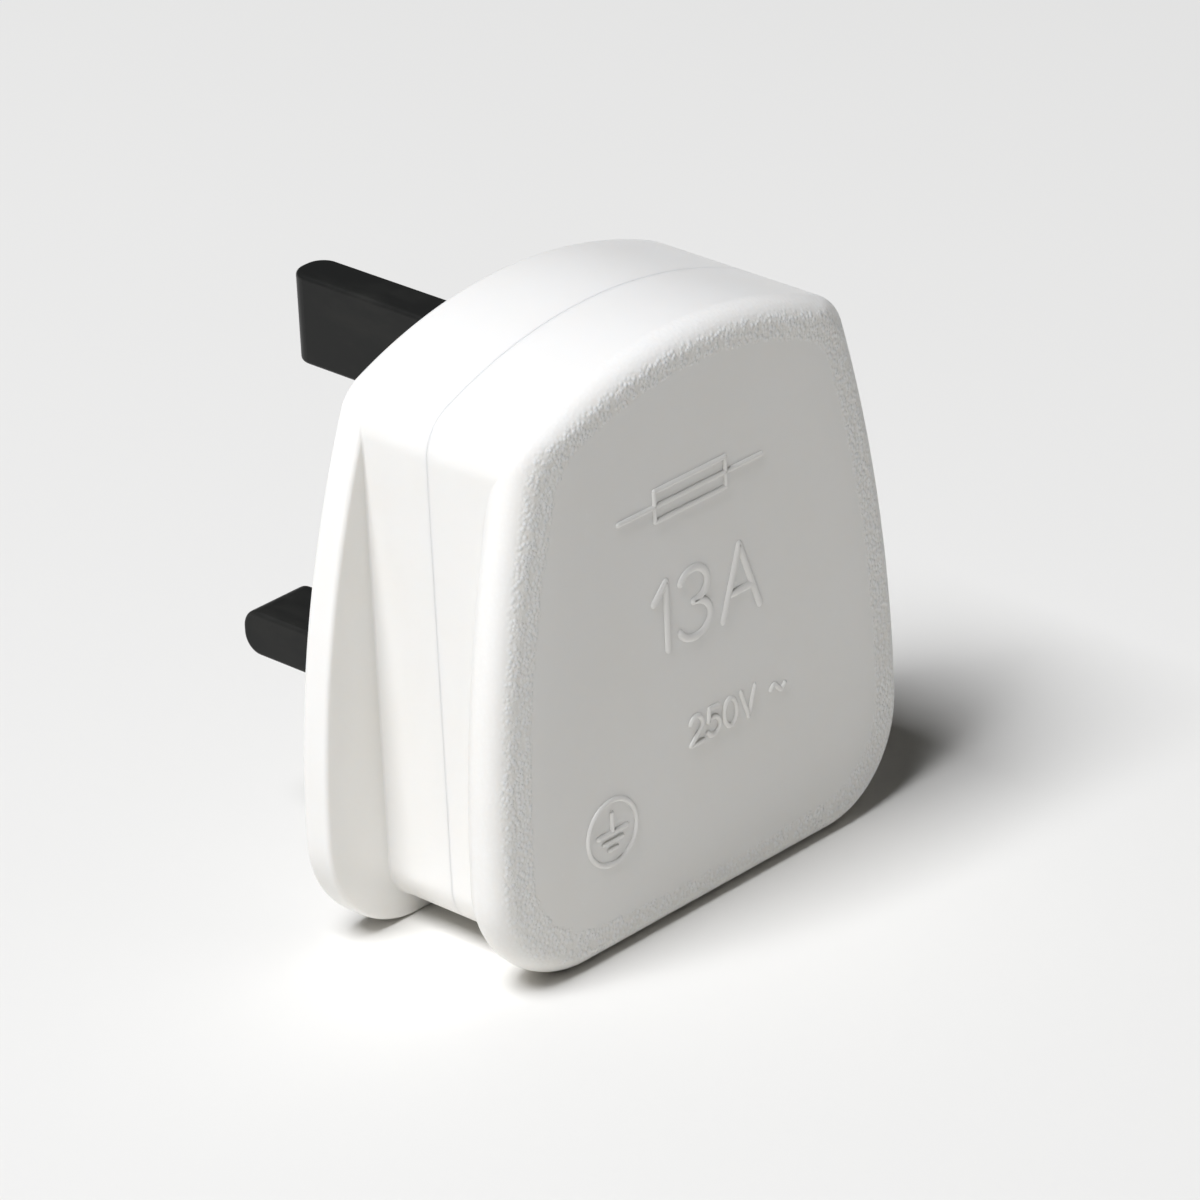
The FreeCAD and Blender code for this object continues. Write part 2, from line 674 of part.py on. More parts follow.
def make_sleeve(label, x):
    body = new_body(label)
    ring = at_depth(body, "flange_thickness")
    centred_rectangle(ring, x, LINE_Z, "line_pin_width", "pin_thickness")
    tube = pad(body, ring, "flange_thickness + sleeve_length", towards_cover=False)
    fillet(body, tube, runs_along_y, "pin_edge_radius")
    bore = at_depth(body, "flange_thickness")
    shrink = "2 * (sleeve_wall - sleeve_clearance)"
    centred_rectangle(bore, x, LINE_Z, f"line_pin_width - {shrink}", f"pin_thickness - {shrink}")
    pocket(body, bore, "flange_thickness + sleeve_length", towards_cover=False)
    return body


def make_live_terminal():
    body = new_body("live_terminal")
    foot = at_depth(body, "flange_thickness")
    rectangle(foot, *TERMINAL_SEAT)
    pad(body, foot, "foot_thickness")
    left, right, low, high = TERMINAL_SEAT
    block = at_depth(body, "flange_thickness")
    rectangle(block, left, right, TERMINAL_LOW, high)
    pad(body, block, "block_rise")
    wire = new_sketch(body, "YZ_Plane", left)
    circle(wire, f"-{WIRE_DEPTH}", TERMINAL_WIRE_Z, "wire_radius")
    pocket(body, wire, "block_width", towards_cover=True)
    drill_clamp(body, LIVE_X, TERMINAL_WIRE_Z)
    return body


# Fuse and clips

def make_clip(label, low):
    """A folded strip round one end of the fuse, open towards the cover."""
    body = new_body(label)
    strip = at_height(body, low)
    outer = f"({SEAT_RADIUS} + clip_thickness)"
    rectangle(strip, f"{LIVE_X} - {outer}", f"{LIVE_X} + {outer}",
              f"-({FUSE_DEPTH} + clip_grip)", f"-{FOOT_TOP}")
    fold = body.newObject("PartDesign::Pad", label + "_step")
    fold.Profile = strip
    fold.setExpression("Length", cells("clip_length"))
    doc.recompute()
    back = lies_at_depth(FOOT_TOP)
    fillet(body, fold, lambda edge: back(edge) and edge.BoundBox.ZLength > 1e-4, "clip_bend_radius")
    seat = at_height(body, low)
    circle(seat, LIVE_X, f"-{FUSE_DEPTH}", SEAT_RADIUS)
    pocket(body, seat, "clip_length", towards_cover=True)
    return body


def make_fuse():
    """Tube, end caps and element of the cartridge fuse, upright at the live pin."""
    tube_radius = "(fuse_radius - cap_wall - cap_clearance)"
    place = {"x": LIVE_X, "depth": FUSE_DEPTH, "z": FUSE_LOW}
    tube_end = "(fuse_length - cap_wall)"
    tube = turned("fuse_tube", "XZ_Plane",
                  [("tube_bore", "cap_wall"), (tube_radius, "cap_wall"),
                   (tube_radius, tube_end), ("tube_bore", tube_end)], **place)
    bore = "(fuse_radius - cap_wall)"
    lower = turned("fuse_cap_lower", "XZ_Plane",
                   [("0", "0"), ("fuse_radius", "0"), ("fuse_radius", "cap_length"),
                    (bore, "cap_length"), (bore, "cap_wall"), ("0", "cap_wall")], **place)
    mouth = "(fuse_length - cap_length)"
    upper = turned("fuse_cap_upper", "XZ_Plane",
                   [("0", "fuse_length"), ("fuse_radius", "fuse_length"), ("fuse_radius", mouth),
                    (bore, mouth), (bore, tube_end), ("0", tube_end)], **place)
    element = turned("fuse_element", "XZ_Plane",
                     [("0", "cap_wall"), ("element_radius", "cap_wall"),
                      ("element_radius", tube_end), ("0", tube_end)], **place)
    return [tube, lower, upper, element]


# Screws, washer, bush and cord grip

def make_screw(label, kind, length, x, seat, z, head_to_cover):
    """A slotted screw whose head bears on a seat, with its shank running the other way."""
    sign = "-" if head_to_cover else ""
    other = "" if head_to_cover else "-"
    head, shank, height = f"{kind}_head_radius", f"{kind}_shank_radius", f"{kind}_head_height"
    body = turned(label, "XY_Plane",
                  [("0", f"{sign}{height}"), (head, f"{sign}{height}"), (head, "0"), (shank, "0"),
                   (shank, f"{other}{length}"), ("0", f"{other}{length}")], x=x, depth=seat, z=z)
    slot = at_depth(body, height if head_to_cover else f"-{height}")
    centred_rectangle(slot, "0", "0", f"2 * {head} + slot_width", "slot_width")
    pocket(body, slot, "slot_depth", towards_cover=not head_to_cover)
    return body


def make_screws():
    clamp = "clamp_shank_length"
    earth = make_screw("earth_clamp_screw", "clamp", clamp,
                       "0", BLOCK_TOP, f"{EARTH_Z} - clamp_shift", True)
    neutral = make_screw("neutral_clamp_screw", "clamp", clamp,
                         NEUTRAL_X, BLOCK_TOP, f"{LINE_Z} - clamp_shift", True)
    live = make_screw("live_clamp_screw", "clamp", clamp, LIVE_X, BLOCK_TOP, TERMINAL_WIRE_Z, True)
    cover = make_screw("cover_screw", "cover", "cover_shank_length", "0", SCREW_SEAT, SCREW_Z, False)
    grips = [make_screw(f"cord_grip_screw_{side}", "grip", "grip_shank_length",
                        f"{sign}{GRIP_X}", GRIP_TOP, GRIP_Z, True)
             for side, sign in (("left", "-"), ("right", ""))]
    return [earth, neutral, live, cover, *grips]


def make_ring(label, inner, outer, thickness, depth):
    """A plain washer or bush round the cover screw, from a depth towards the cover."""
    return turned(label, "XY_Plane",
                  [(inner, "0"), (outer, "0"), (outer, f"-{thickness}"), (inner, f"-{thickness}")],
                  depth=depth, z=SCREW_Z)


def make_cord_grip_bar():
    body = new_body("cord_grip_bar")
    bar = at_depth(body, "grip_boss_depth")
    centred_rectangle(bar, "0", GRIP_Z, "grip_bar_length", "grip_bar_width")
    pad(body, bar, f"{GRIP_TOP} - grip_boss_depth")
    arch = at_height(body, f"{GRIP_Z} - grip_bar_width / 2")
    circle(arch, "0", "-base_depth", "cord_radius")
    pocket(body, arch, "grip_bar_width", towards_cover=True)
    holes = at_depth(body, "grip_boss_depth")
    for sign in ("-", ""):
        circle(holes, f"{sign}{GRIP_X}", GRIP_Z, "grip_shank_radius + screw_clearance")
    pocket(body, holes, f"{GRIP_TOP} - grip_boss_depth")
    return body


pieces = [
    make_base(),
    make_cover(),
    make_earth_pin(),
    make_neutral_pin(),
    make_sleeve("neutral_pin_sleeve", NEUTRAL_X),
    make_live_pin(),
    make_sleeve("live_pin_sleeve", LIVE_X),
    make_clip("live_pin_clip", LOWER_CLIP_Z),
    make_live_terminal(),
    make_clip("live_terminal_clip", UPPER_CLIP_Z),
    *make_fuse(),
    *make_screws(),
    make_ring("cover_screw_retainer", "cover_shank_radius + thread_clearance", "retainer_radius",
              "retainer_thickness", "base_depth - retainer_thickness"),
    make_ring("cover_insert", "cover_shank_radius + thread_clearance", "insert_radius",
              "insert_length", "base_depth + insert_sink"),
    make_cord_grip_bar(),
]
doc.recompute()

for item in doc.Objects:
    if "Invalid" in item.State or "Error" in item.State:
        raise ValueError(f"{item.Label} did not build: {item.State}")
for piece in pieces:
    if piece.Shape.isNull() or not piece.Shape.isValid() or len(piece.Shape.Solids) != 1:
        raise ValueError(f"{piece.Label} is not one sound solid")
os.makedirs("parts", exist_ok=True)
for piece in pieces:
    piece.Shape.exportStep(f"parts/{piece.Label}.step")
    print(f"{piece.Label}: {piece.Shape.Volume:.1f} cubic mm")
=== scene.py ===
import bmesh
import bpy
import math
from mathutils import Matrix, Vector


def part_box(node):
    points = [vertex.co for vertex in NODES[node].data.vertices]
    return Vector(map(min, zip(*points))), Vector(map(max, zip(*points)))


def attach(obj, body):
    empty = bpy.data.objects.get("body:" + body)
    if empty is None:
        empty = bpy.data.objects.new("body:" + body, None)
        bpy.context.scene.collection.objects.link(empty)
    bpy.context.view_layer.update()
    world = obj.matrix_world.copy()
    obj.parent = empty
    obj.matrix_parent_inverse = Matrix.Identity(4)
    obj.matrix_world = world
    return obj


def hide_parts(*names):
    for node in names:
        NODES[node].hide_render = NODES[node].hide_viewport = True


# A white fused mains plug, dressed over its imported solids.
# Sizes are in millimetres until a mesh is made. "Depth" runs from the pin face to the cover, along -Y.

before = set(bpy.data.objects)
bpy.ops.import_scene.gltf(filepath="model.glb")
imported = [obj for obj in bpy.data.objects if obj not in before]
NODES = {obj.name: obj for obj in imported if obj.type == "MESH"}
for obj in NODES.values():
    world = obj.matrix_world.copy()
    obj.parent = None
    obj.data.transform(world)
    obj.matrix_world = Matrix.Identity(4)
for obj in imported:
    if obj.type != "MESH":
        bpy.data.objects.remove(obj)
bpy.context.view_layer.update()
MM = 0.001


# Sizes

def node_box(name):
    """Lowest and highest corner of a node, in millimetres."""
    low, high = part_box(name)
    return low / MM, high / MM


BASE_LOW, BASE_HIGH = node_box("base")
COVER_LOW, COVER_HIGH = node_box("cover")

# outline
PLUG_TOP = BASE_HIGH.z
FOOT = BASE_LOW.z
BASE_HALF = BASE_HIGH.x
RIM_HALF = COVER_HIGH.x
ARCH_RADIUS = 42.0
ARCH_Z = PLUG_TOP - ARCH_RADIUS
SHOULDER_RADIUS = 4.0
WAIST_HALF = 19.2
WIDEST_Z = -20.0
CORNER_RADIUS = 9.5
WAIST_FOOT = -27.9
WAIST_CORNER = 4.0
SHOULDER_X = WAIST_HALF - SHOULDER_RADIUS
SHOULDER_Z = ARCH_Z + math.sqrt((ARCH_RADIUS - SHOULDER_RADIUS) ** 2 - SHOULDER_X ** 2)

# from front to back
FLANGE = 3.0
PARTING = -BASE_LOW.y
PLUG_DEPTH = -COVER_LOW.y
PIN_FACE_ROUNDING = 0.8
FLANGE_EDGE_ROUNDING = 0.4
FLANGE_CREASE = 0.18
RIM_CREASE = 0.5
RIM_ROUNDING = 2.3
RIM_FLAT = 0.2
SEAM = 0.016

# the crest of the rim, and the smooth panel inside it
CREST_INSET = 2.0
CREST_SHOULDER = 5.0
PANEL_MARGIN = 3.45
PANEL_EDGE_FLAT = 0.6
PANEL_CORNER = 8.6
PANEL_SHOULDER = 6.5
PANEL_SHOULDER_INSET = 2.8
PANEL_RISE = 0.2
PANEL_WALL = 2.8
# the panel falls away a little in a strip along its sides, and the grain fades out across its edge
PANEL_FALL = 0.3
PANEL_FALL_WIDTH = 3.2
GRAIN_FADE = 0.9

# inside
SIDE_WALL = 2.6
TOP_WALL = 2.0
FOOT_WALL = 2.4
CAVITY_HALF = WAIST_HALF - SIDE_WALL
CAVITY_FOOT = WAIST_FOOT + FOOT_WALL
CAVITY_FRONT = PLUG_DEPTH - PANEL_WALL

# points nearer than this are one, and edges that turn by more than this are sharp
MERGE = 0.01
SHARP_TURN = math.radians(35)

# points on each stretch of half an outline, from the top's middle to the foot's middle
TOP_POINTS = 56
SHOULDER_POINTS = 30
SIDE_POINTS = 130
CORNER_POINTS = 54
FOOT_POINTS = 50

# rings on each stretch of a shell: as shares of the way, or as a number of steps
FACE_SHARES = (0.1, 0.3, 0.5, 0.7, 0.86, 0.95)
WALL_SHARES = (0.25, 0.5, 0.75)
PANEL_EDGE_STEPS = 20
RIM_STEPS = 16
PIN_FACE_STEPS = 8
OVERHANG_STEPS = 12
ROD_SIDES = 72


# Outlines seen from the cover: (x, z) points from the top's middle, by the right side, to the foot's middle

def mix(a, b, share):
    """A value between two."""
    return a + (b - a) * share


def smooth(share):
    """Eases from 0 to 1."""
    share = min(max(share, 0.0), 1.0)
    return share * share * (3 - 2 * share)


def arc(centre, radius, start, end, count):
    """Points of an arc, without its last one."""
    turns = [mix(start, end, i / count) for i in range(count)]
    return [(centre[0] + radius * math.cos(a), centre[1] + radius * math.sin(a)) for a in turns]


def line(start, end, count):
    """Points of a line, without its last one."""
    return [(mix(start[0], end[0], i / count), mix(start[1], end[1], i / count)) for i in range(count)]


class Bulged:
    """An arched top, rounded shoulders, sides that bulge to a half width, and rounded lower corners."""

    def __init__(self, half_width, foot=FOOT, corner=CORNER_RADIUS, crown=ARCH_RADIUS,
                 shoulder=SHOULDER_RADIUS, shoulder_x=SHOULDER_X):
        self.foot = foot
        self.corner = corner
        self.crown = crown
        self.shoulder = shoulder
        self.shoulder_x = shoulder_x
        self.shoulder_z = ARCH_Z + math.sqrt((crown - shoulder) ** 2 - shoulder_x ** 2)
        reach = half_width - shoulder_x
        drop = self.shoulder_z - WIDEST_Z
        self.side = (reach ** 2 + drop ** 2 - shoulder ** 2) / (2 * (reach - shoulder))
        self.side_x = half_width - self.side
        self.top_turn = math.atan2(self.shoulder_z - ARCH_Z, shoulder_x)
        self.side_turn = math.atan2(drop, shoulder_x - self.side_x)
        self.corner_z = foot + corner
        rise = self.corner_z - WIDEST_Z
        self.corner_x = self.side_x + math.sqrt((self.side - corner) ** 2 - rise ** 2)
        self.foot_turn = math.atan2(rise, self.corner_x - self.side_x)

    def half(self, inset=0.0):
        """The right half of the outline, drawn in by an inset."""
        down = -math.pi / 2
        foot = self.foot + inset
        points = arc((0, ARCH_Z), self.crown - inset, -down, self.top_turn, TOP_POINTS)
        points += arc((self.shoulder_x, self.shoulder_z), self.shoulder - inset,
                      self.top_turn, self.side_turn, SHOULDER_POINTS)
        points += arc((self.side_x, WIDEST_Z), self.side - inset,
                      self.side_turn, self.foot_turn, SIDE_POINTS)
        points += arc((self.corner_x, self.corner_z), self.corner - inset,
                      self.foot_turn, down, CORNER_POINTS)
        points += line((self.corner_x, foot), (0, foot), FOOT_POINTS)
        return points + [(0, foot)]

    def sideways(self):
        """How far each point of the half outline faces sideways, from 0 to 1."""
        spots = self.half()
        after = spots[1:] + spots[-1:]
        before = spots[:1] + spots[:-1]
        return [abs(a[1] - b[1]) / math.dist(a, b) for a, b in zip(after, before)]


def waist_half(beside, inset=0.0):
    """The straight-sided waist, with its points beside those of a bulged outline that shares its top."""
    radius = SHOULDER_RADIUS - inset
    edge = WAIST_HALF - inset
    foot = WAIST_FOOT + inset
    corner = WAIST_CORNER - inset
    points = arc((0, ARCH_Z), ARCH_RADIUS - inset, math.pi / 2, beside.top_turn, TOP_POINTS)
    points += arc((SHOULDER_X, SHOULDER_Z), radius, beside.top_turn, beside.side_turn, SHOULDER_POINTS)
    start = SHOULDER_Z + radius * math.sin(beside.side_turn)
    for x, z in line((edge, start), (edge, WIDEST_Z), SIDE_POINTS):
        rise = max(z - SHOULDER_Z, 0.0)
        points.append((SHOULDER_X + math.sqrt(radius ** 2 - rise ** 2), z))
    corner_x = edge - corner
    corner_z = foot + corner
    straight = WIDEST_Z - corner_z
    length = straight + corner * math.pi / 2
    for i in range(CORNER_POINTS):
        way = length * i / CORNER_POINTS
        turn = max(way - straight, 0.0) / corner
        above = max(straight - way, 0.0)
        points.append((corner_x + corner * math.cos(turn), corner_z + above - corner * math.sin(turn)))
    points += line((corner_x, foot), (0, foot), FOOT_POINTS)
    return points + [(0, foot)]


def cavity_half():
    """The hollow: straight sides and floor under an arch."""
    radius = ARCH_RADIUS - TOP_WALL
    turn = math.acos(CAVITY_HALF / radius)
    spring = ARCH_Z + radius * math.sin(turn)
    points = arc((0, ARCH_Z), radius, math.pi / 2, turn, TOP_POINTS + SHOULDER_POINTS)
    points += line((CAVITY_HALF, spring), (CAVITY_HALF, WIDEST_Z), SIDE_POINTS)
    points += line((CAVITY_HALF, WIDEST_Z), (CAVITY_HALF, CAVITY_FOOT), CORNER_POINTS)
    points += line((CAVITY_HALF, CAVITY_FOOT), (0, CAVITY_FOOT), FOOT_POINTS)
    return points + [(0, CAVITY_FOOT)]


# Meshes

def new_object(name, points, faces):
    """An object at the origin from points in millimetres, given as (x, depth, z)."""
    mesh = bpy.data.meshes.new(name)
    mesh.from_pydata([Vector((x, -depth, z)) * MM for x, depth, z in points], [], faces)
    obj = bpy.data.objects.new(name, mesh)
    bpy.context.scene.collection.objects.link(obj)
    return obj


class Loft:
    """A closed skin through rings of points, each with how grained the surface is there."""

    def __init__(self, first):
        self.points = [first]
        self.grain = [0.0]
        self.rings = []

    def ring(self, half, depths, grain=0.0):
        """Adds a ring from its right half. Depths and grain are one number, or one for each point."""
        count = len(half)
        depths = depths if isinstance(depths, list) else [depths] * count
        grain = grain if isinstance(grain, list) else [grain] * count
        order = list(range(count)) + list(range(count - 2, 0, -1))
        start = len(self.points)
        for place, i in enumerate(order):
            x, z = half[i]
            self.points.append((x if place < count else -x, depths[i], z))
            self.grain.append(grain[i])
        self.rings.append(range(start, start + len(order)))

    def finish(self, name, last):
        """Closes the skin on its last point and makes the object."""
        end = len(self.points)
        self.points.append(last)
        self.grain.append(0.0)
        faces = []
        count = len(self.rings[0])
        for i in range(count):
            j = (i + 1) % count
            faces.append((0, self.rings[0][j], self.rings[0][i]))
            faces.append((end, self.rings[-1][i], self.rings[-1][j]))
            for one, two in zip(self.rings, self.rings[1:]):
                faces.append((one[i], one[j], two[j], two[i]))
        obj = new_object(name, self.points, faces)
        layer = obj.data.attributes.new("grain", "FLOAT", "POINT")
        layer.data.foreach_set("value", self.grain)
        clean(obj.data)
        return obj


def clean(mesh):
    """Merges points that coincide and turns every face outwards."""
    work = bmesh.new()
    work.from_mesh(mesh)
    bmesh.ops.remove_doubles(work, verts=work.verts, dist=MERGE * MM)
    bmesh.ops.recalc_face_normals(work, faces=work.faces)
    work.to_mesh(mesh)
    work.free()


def shade(obj):
    """Smooth shading, with strongly turned edges left sharp."""
    obj.data.polygons.foreach_set("use_smooth", [True] * len(obj.data.polygons))
    obj.data.set_sharp_from_angle(angle=SHARP_TURN)


def toward(half, centre, share):
    """A ring scaled towards a centre."""
    return [(mix(centre[0], x, share), mix(centre[1], z, share)) for x, z in half]


def between(one, two, shares):
    """Points between two rings, at one share for each point."""
    return [(mix(a[0], b[0], s), mix(a[1], b[1], s)) for a, b, s in zip(one, two, shares)]


def gaps(one, two):
    """How far apart the points of two rings are."""
    return [math.dist(a, b) for a, b in zip(one, two)]


# Plain solids that are added to the shells or cut out of them

def box_solid(xs, depths, zs):
    """A box between its lowest and highest values on each axis."""
    corners = [(x, d, z) for d in depths for x, z in
               ((xs[0], zs[0]), (xs[1], zs[0]), (xs[1], zs[1]), (xs[0], zs[1]))]
    sides = [(i, (i + 1) % 4, (i + 1) % 4 + 4, i + 4) for i in range(4)]
    return closed(corners, [(3, 2, 1, 0), (4, 5, 6, 7), *sides])


def frame_solid(xs, zs, gap, wall, depths):
    """A low wall round a seat."""
    corners = []
    for d in depths:
        for grow in (gap, gap + wall):
            corners += [(xs[0] - grow, d, zs[0] - grow), (xs[1] + grow, d, zs[0] - grow),
                        (xs[1] + grow, d, zs[1] + grow), (xs[0] - grow, d, zs[1] + grow)]
    faces = []
    for i in range(4):
        j = (i + 1) % 4
        faces += [(i, j, j + 4, i + 4), (i + 8, i + 12, j + 12, j + 8),
                  (i, i + 8, j + 8, j), (i + 4, j + 4, j + 12, i + 12)]
    return closed(corners, faces)


def rod_solid(centre, radius, ends, upright=False):
    """A round rod along the depth, or upright along Z with its centre given as (x, depth)."""
    sides = ROD_SIDES
    points = []
    for end in ends:
        for i in range(sides):
            turn = 2 * math.pi * i / sides
            a = centre[0] + radius * math.cos(turn)
            b = centre[1] + radius * math.sin(turn)
            points.append((a, b, end) if upright else (a, end, b))
    faces = [(i, (i + 1) % sides, (i + 1) % sides + sides, i + sides) for i in range(sides)]
    return closed(points, [tuple(range(sides)), tuple(range(sides, 2 * sides)), *faces])


def closed(points, faces):
    """A closed solid that is used up when it is added or cut."""
    obj = new_object("cutter", points, faces)
    clean(obj.data)
    return obj


def combine(piece, operation, solids):
    """Adds solids to a piece or cuts them out of it."""
    group = bpy.data.collections.new("solids")
    bpy.context.scene.collection.children.link(group)
    for solid in solids:
        group.objects.link(solid)
    step = piece.modifiers.new("combine", "BOOLEAN")
    step.operation = operation
    step.solver = "MANIFOLD"
    step.operand_type = "COLLECTION"
    step.collection = group
    settle(piece)
    for solid in solids:
        bpy.data.objects.remove(solid)
    bpy.data.collections.remove(group)


def plain_mesh(piece):
    """The mesh that a piece and its modifiers come to."""
    graph = bpy.context.evaluated_depsgraph_get()
    evaluated = piece.evaluated_get(graph)
    return bpy.data.meshes.new_from_object(evaluated, preserve_all_data_layers=True, depsgraph=graph)


def settle(piece):
    """Turns a piece with its modifiers into a plain mesh."""
    mesh = plain_mesh(piece)
    piece.modifiers.clear()
    piece.data = mesh
    mesh.name = piece.name


def dress(piece, material, slot, *nodes):
    """Gives a finished piece its material and its place in the frame."""
    piece.data.materials.clear()
    piece.data.materials.append(material)
    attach(piece, "root")
    if nodes:
        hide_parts(*nodes)


# Node graphs, for finishes and for shapes

class Field:
    """A value in a node graph. Arithmetic on it adds Math nodes."""

    def __init__(self, graph, socket):
        self.graph = graph
        self.socket = socket

    def math(self, operation, first, second):
        """The field that one Math node gives."""
        return self.graph.node("ShaderNodeMath", {"operation": operation}, {0: first, 1: second})

    def __add__(self, other):
        return self.math("ADD", self, other)

    def __radd__(self, other):
        return self.math("ADD", other, self)

    def __sub__(self, other):
        return self.math("SUBTRACT", self, other)

    def __rsub__(self, other):
        return self.math("SUBTRACT", other, self)

    def __mul__(self, other):
        return self.math("MULTIPLY", self, other)

    def __rmul__(self, other):
        return self.math("MULTIPLY", other, self)

    def __truediv__(self, other):
        return self.math("DIVIDE", self, other)

    def __rtruediv__(self, other):
        return self.math("DIVIDE", other, self)

    def __gt__(self, other):
        return self.math("GREATER_THAN", self, other)

    def __lt__(self, other):
        return self.math("LESS_THAN", self, other)


class Graph:
    """A node tree that is filled in by expressions."""

    def __init__(self, tree):
        self.tree = tree

    def node(self, kind, settings, sockets, output=0):
        """Adds a node: its settings first, then the values or links of its sockets.

        A list links each of its fields to one socket.
        """
        node = self.tree.nodes.new(kind)
        for name, value in settings.items():
            setattr(node, name, value)
        for name, value in sockets.items():
            if isinstance(value, (Field, list)):
                for field in value if isinstance(value, list) else [value]:
                    self.tree.links.new(field.socket, node.inputs[name])
            else:
                node.inputs[name].default_value = value
        return Field(self, node.outputs[output])


class Finish(Graph):
    """A procedural material: one Principled shader, and the nodes that feed it."""

    def __init__(self, name, **constants):
        self.material = bpy.data.materials.new(name)
        self.material.use_nodes = True
        super().__init__(self.material.node_tree)
        self.shader = self.tree.nodes["Principled BSDF"]
        for socket, number in constants.items():
            self.shader.inputs[socket.replace("_", " ")].default_value = number
        self.place = self.node("ShaderNodeTexCoord", {}, {}, "Object")

    def noise(self, size, detail=2.0, roughness=0.5, stretch=(1, 1, 1)):
        """Noise whose features are about a size across, in millimetres."""
        place = self.node("ShaderNodeMapping", {}, {"Vector": self.place, "Scale": stretch})
        return self.node("ShaderNodeTexNoise", {}, {"Vector": place, "Scale": 1 / (size * MM),
                                                    "Detail": detail, "Roughness": roughness})

    def cells(self, size, output="Distance"):
        """Cells about a size across, in millimetres: the distance from a middle, or a colour for each."""
        return self.node("ShaderNodeTexVoronoi", {},
                         {"Vector": self.place, "Scale": 1 / (size * MM)}, output)

    def ease(self, field, low, high):
        """0 below low, 1 above high, and a soft step between."""
        return self.node("ShaderNodeMapRange", {"interpolation_type": "SMOOTHSTEP"},
                         {"Value": field, "From Min": low, "From Max": high})

    def blend(self, share, one, two):
        """A colour between two."""
        return self.node("ShaderNodeMix", {"data_type": "RGBA"}, {0: share, 6: one, 7: two}, 2)

    def feed(self, socket, field):
        """Links a field to a socket of the shader."""
        self.tree.links.new(field.socket, self.shader.inputs[socket])

    def relief(self, height):
        """Bump from a height in millimetres."""
        self.feed("Normal", self.node("ShaderNodeBump", {}, {"Height": height, "Distance": MM}))


class Shape(Graph):
    """A Geometry Nodes tree on a piece's own geometry, with named inputs for its sizes and its material."""

    def __init__(self, name, *sizes):
        super().__init__(bpy.data.node_groups.new(name, "GeometryNodeTree"))
        sockets = self.tree.interface
        sockets.new_socket("Geometry", in_out="INPUT", socket_type="NodeSocketGeometry")
        for size in sizes:
            sockets.new_socket(size, in_out="INPUT", socket_type="NodeSocketFloat")
        sockets.new_socket("Material", in_out="INPUT", socket_type="NodeSocketMaterial")
        sockets.new_socket("Geometry", in_out="OUTPUT", socket_type="NodeSocketGeometry")
        self.entry = self.tree.nodes.new("NodeGroupInput")

    def given(self, name):
        """One of the tree's inputs."""
        return Field(self, self.entry.outputs[name])

    def close(self, geometry):
        """Ends the tree: instances made real, and the material set."""
        real = self.node("GeometryNodeRealizeInstances", {}, {"Geometry": geometry})
        material = self.given("Material")
        done = self.node("GeometryNodeSetMaterial", {}, {"Geometry": real, "Material": material})
        self.tree.links.new(done.socket, self.tree.nodes.new("NodeGroupOutput").inputs[0])

    def mesh_of(self, piece, values):
        """Runs the tree on a piece and gives the plain mesh."""
        step = piece.modifiers.new(self.tree.name, "NODES")
        step.node_group = self.tree
        for item in self.tree.interface.items_tree:
            if item.in_out == "INPUT" and item.name in values:
                step[item.identifier] = values[item.name]
        return plain_mesh(piece)


# Finishes

def colour(red, green, blue):
    """A colour as a socket takes it, with nothing see-through."""
    return (red, green, blue, 1.0)


# two tones for each finish, which its pattern mixes
# the grain is painted lighter than the plain shell, and lightest in the middle of each bump: a painted
# highlight where the bumps catch the lamp
SHELL_TONES = (colour(0.913, 0.897, 0.86), colour(0.905, 0.885, 0.841))
GRAIN_PAINTED_HIGHLIGHT_TONES = (colour(0.93, 0.9, 0.85), colour(1.0, 0.985, 0.95))
PIN_TONES = (colour(0.0145, 0.0148, 0.014), colour(0.0225, 0.0225, 0.0205))
SLEEVE_TONES = (colour(0.013, 0.0132, 0.013), colour(0.019, 0.019, 0.0185))
BRASS_TONES = (colour(0.78, 0.57, 0.25), colour(0.56, 0.39, 0.16))
NICKEL_TONES = (colour(0.74, 0.72, 0.68), colour(0.6, 0.58, 0.54))
STEEL_TONES = (colour(0.66, 0.66, 0.66), colour(0.48, 0.48, 0.48))
CERAMIC_TONES = (colour(0.82, 0.8, 0.75), colour(0.9, 0.88, 0.84))
FIBRE_TONES = (colour(0.3, 0.05, 0.03), colour(0.5, 0.14, 0.09))
GRIP_TONES = (colour(0.5, 0.5, 0.48), colour(0.58, 0.58, 0.56))
FLOOR_TONES = (colour(0.8, 0.786, 0.748), colour(0.81, 0.796, 0.758))
DUST_TONE = colour(0.3, 0.28, 0.26)

# how much light enters the shell's plastic, and how far it goes in it: red, green and blue
INNER_LIGHT = 0.6
INNER_LIGHT_SCALE = 0.45
INNER_LIGHT_REACH = (0.9, 0.85, 0.8)

# the rim's grain: how wide and tall its bumps and its fine unevenness are, and how tall it stays on the sides
BUMP_SIZE = 0.38
BUMP_HEIGHT = 0.07
UNEVEN_SIZE = 0.3
UNEVEN_HEIGHT = 0.03
SIDE_SHARE = 0.15
# its border is ragged
RAGGED_SIZE = 0.8
RAGGED_REACH = 1.3

# specks of dust lie in a few cells of this size
DUST_CELL = 3.4
DUST_REACH = 0.022
DUST_RARITY = 0.86


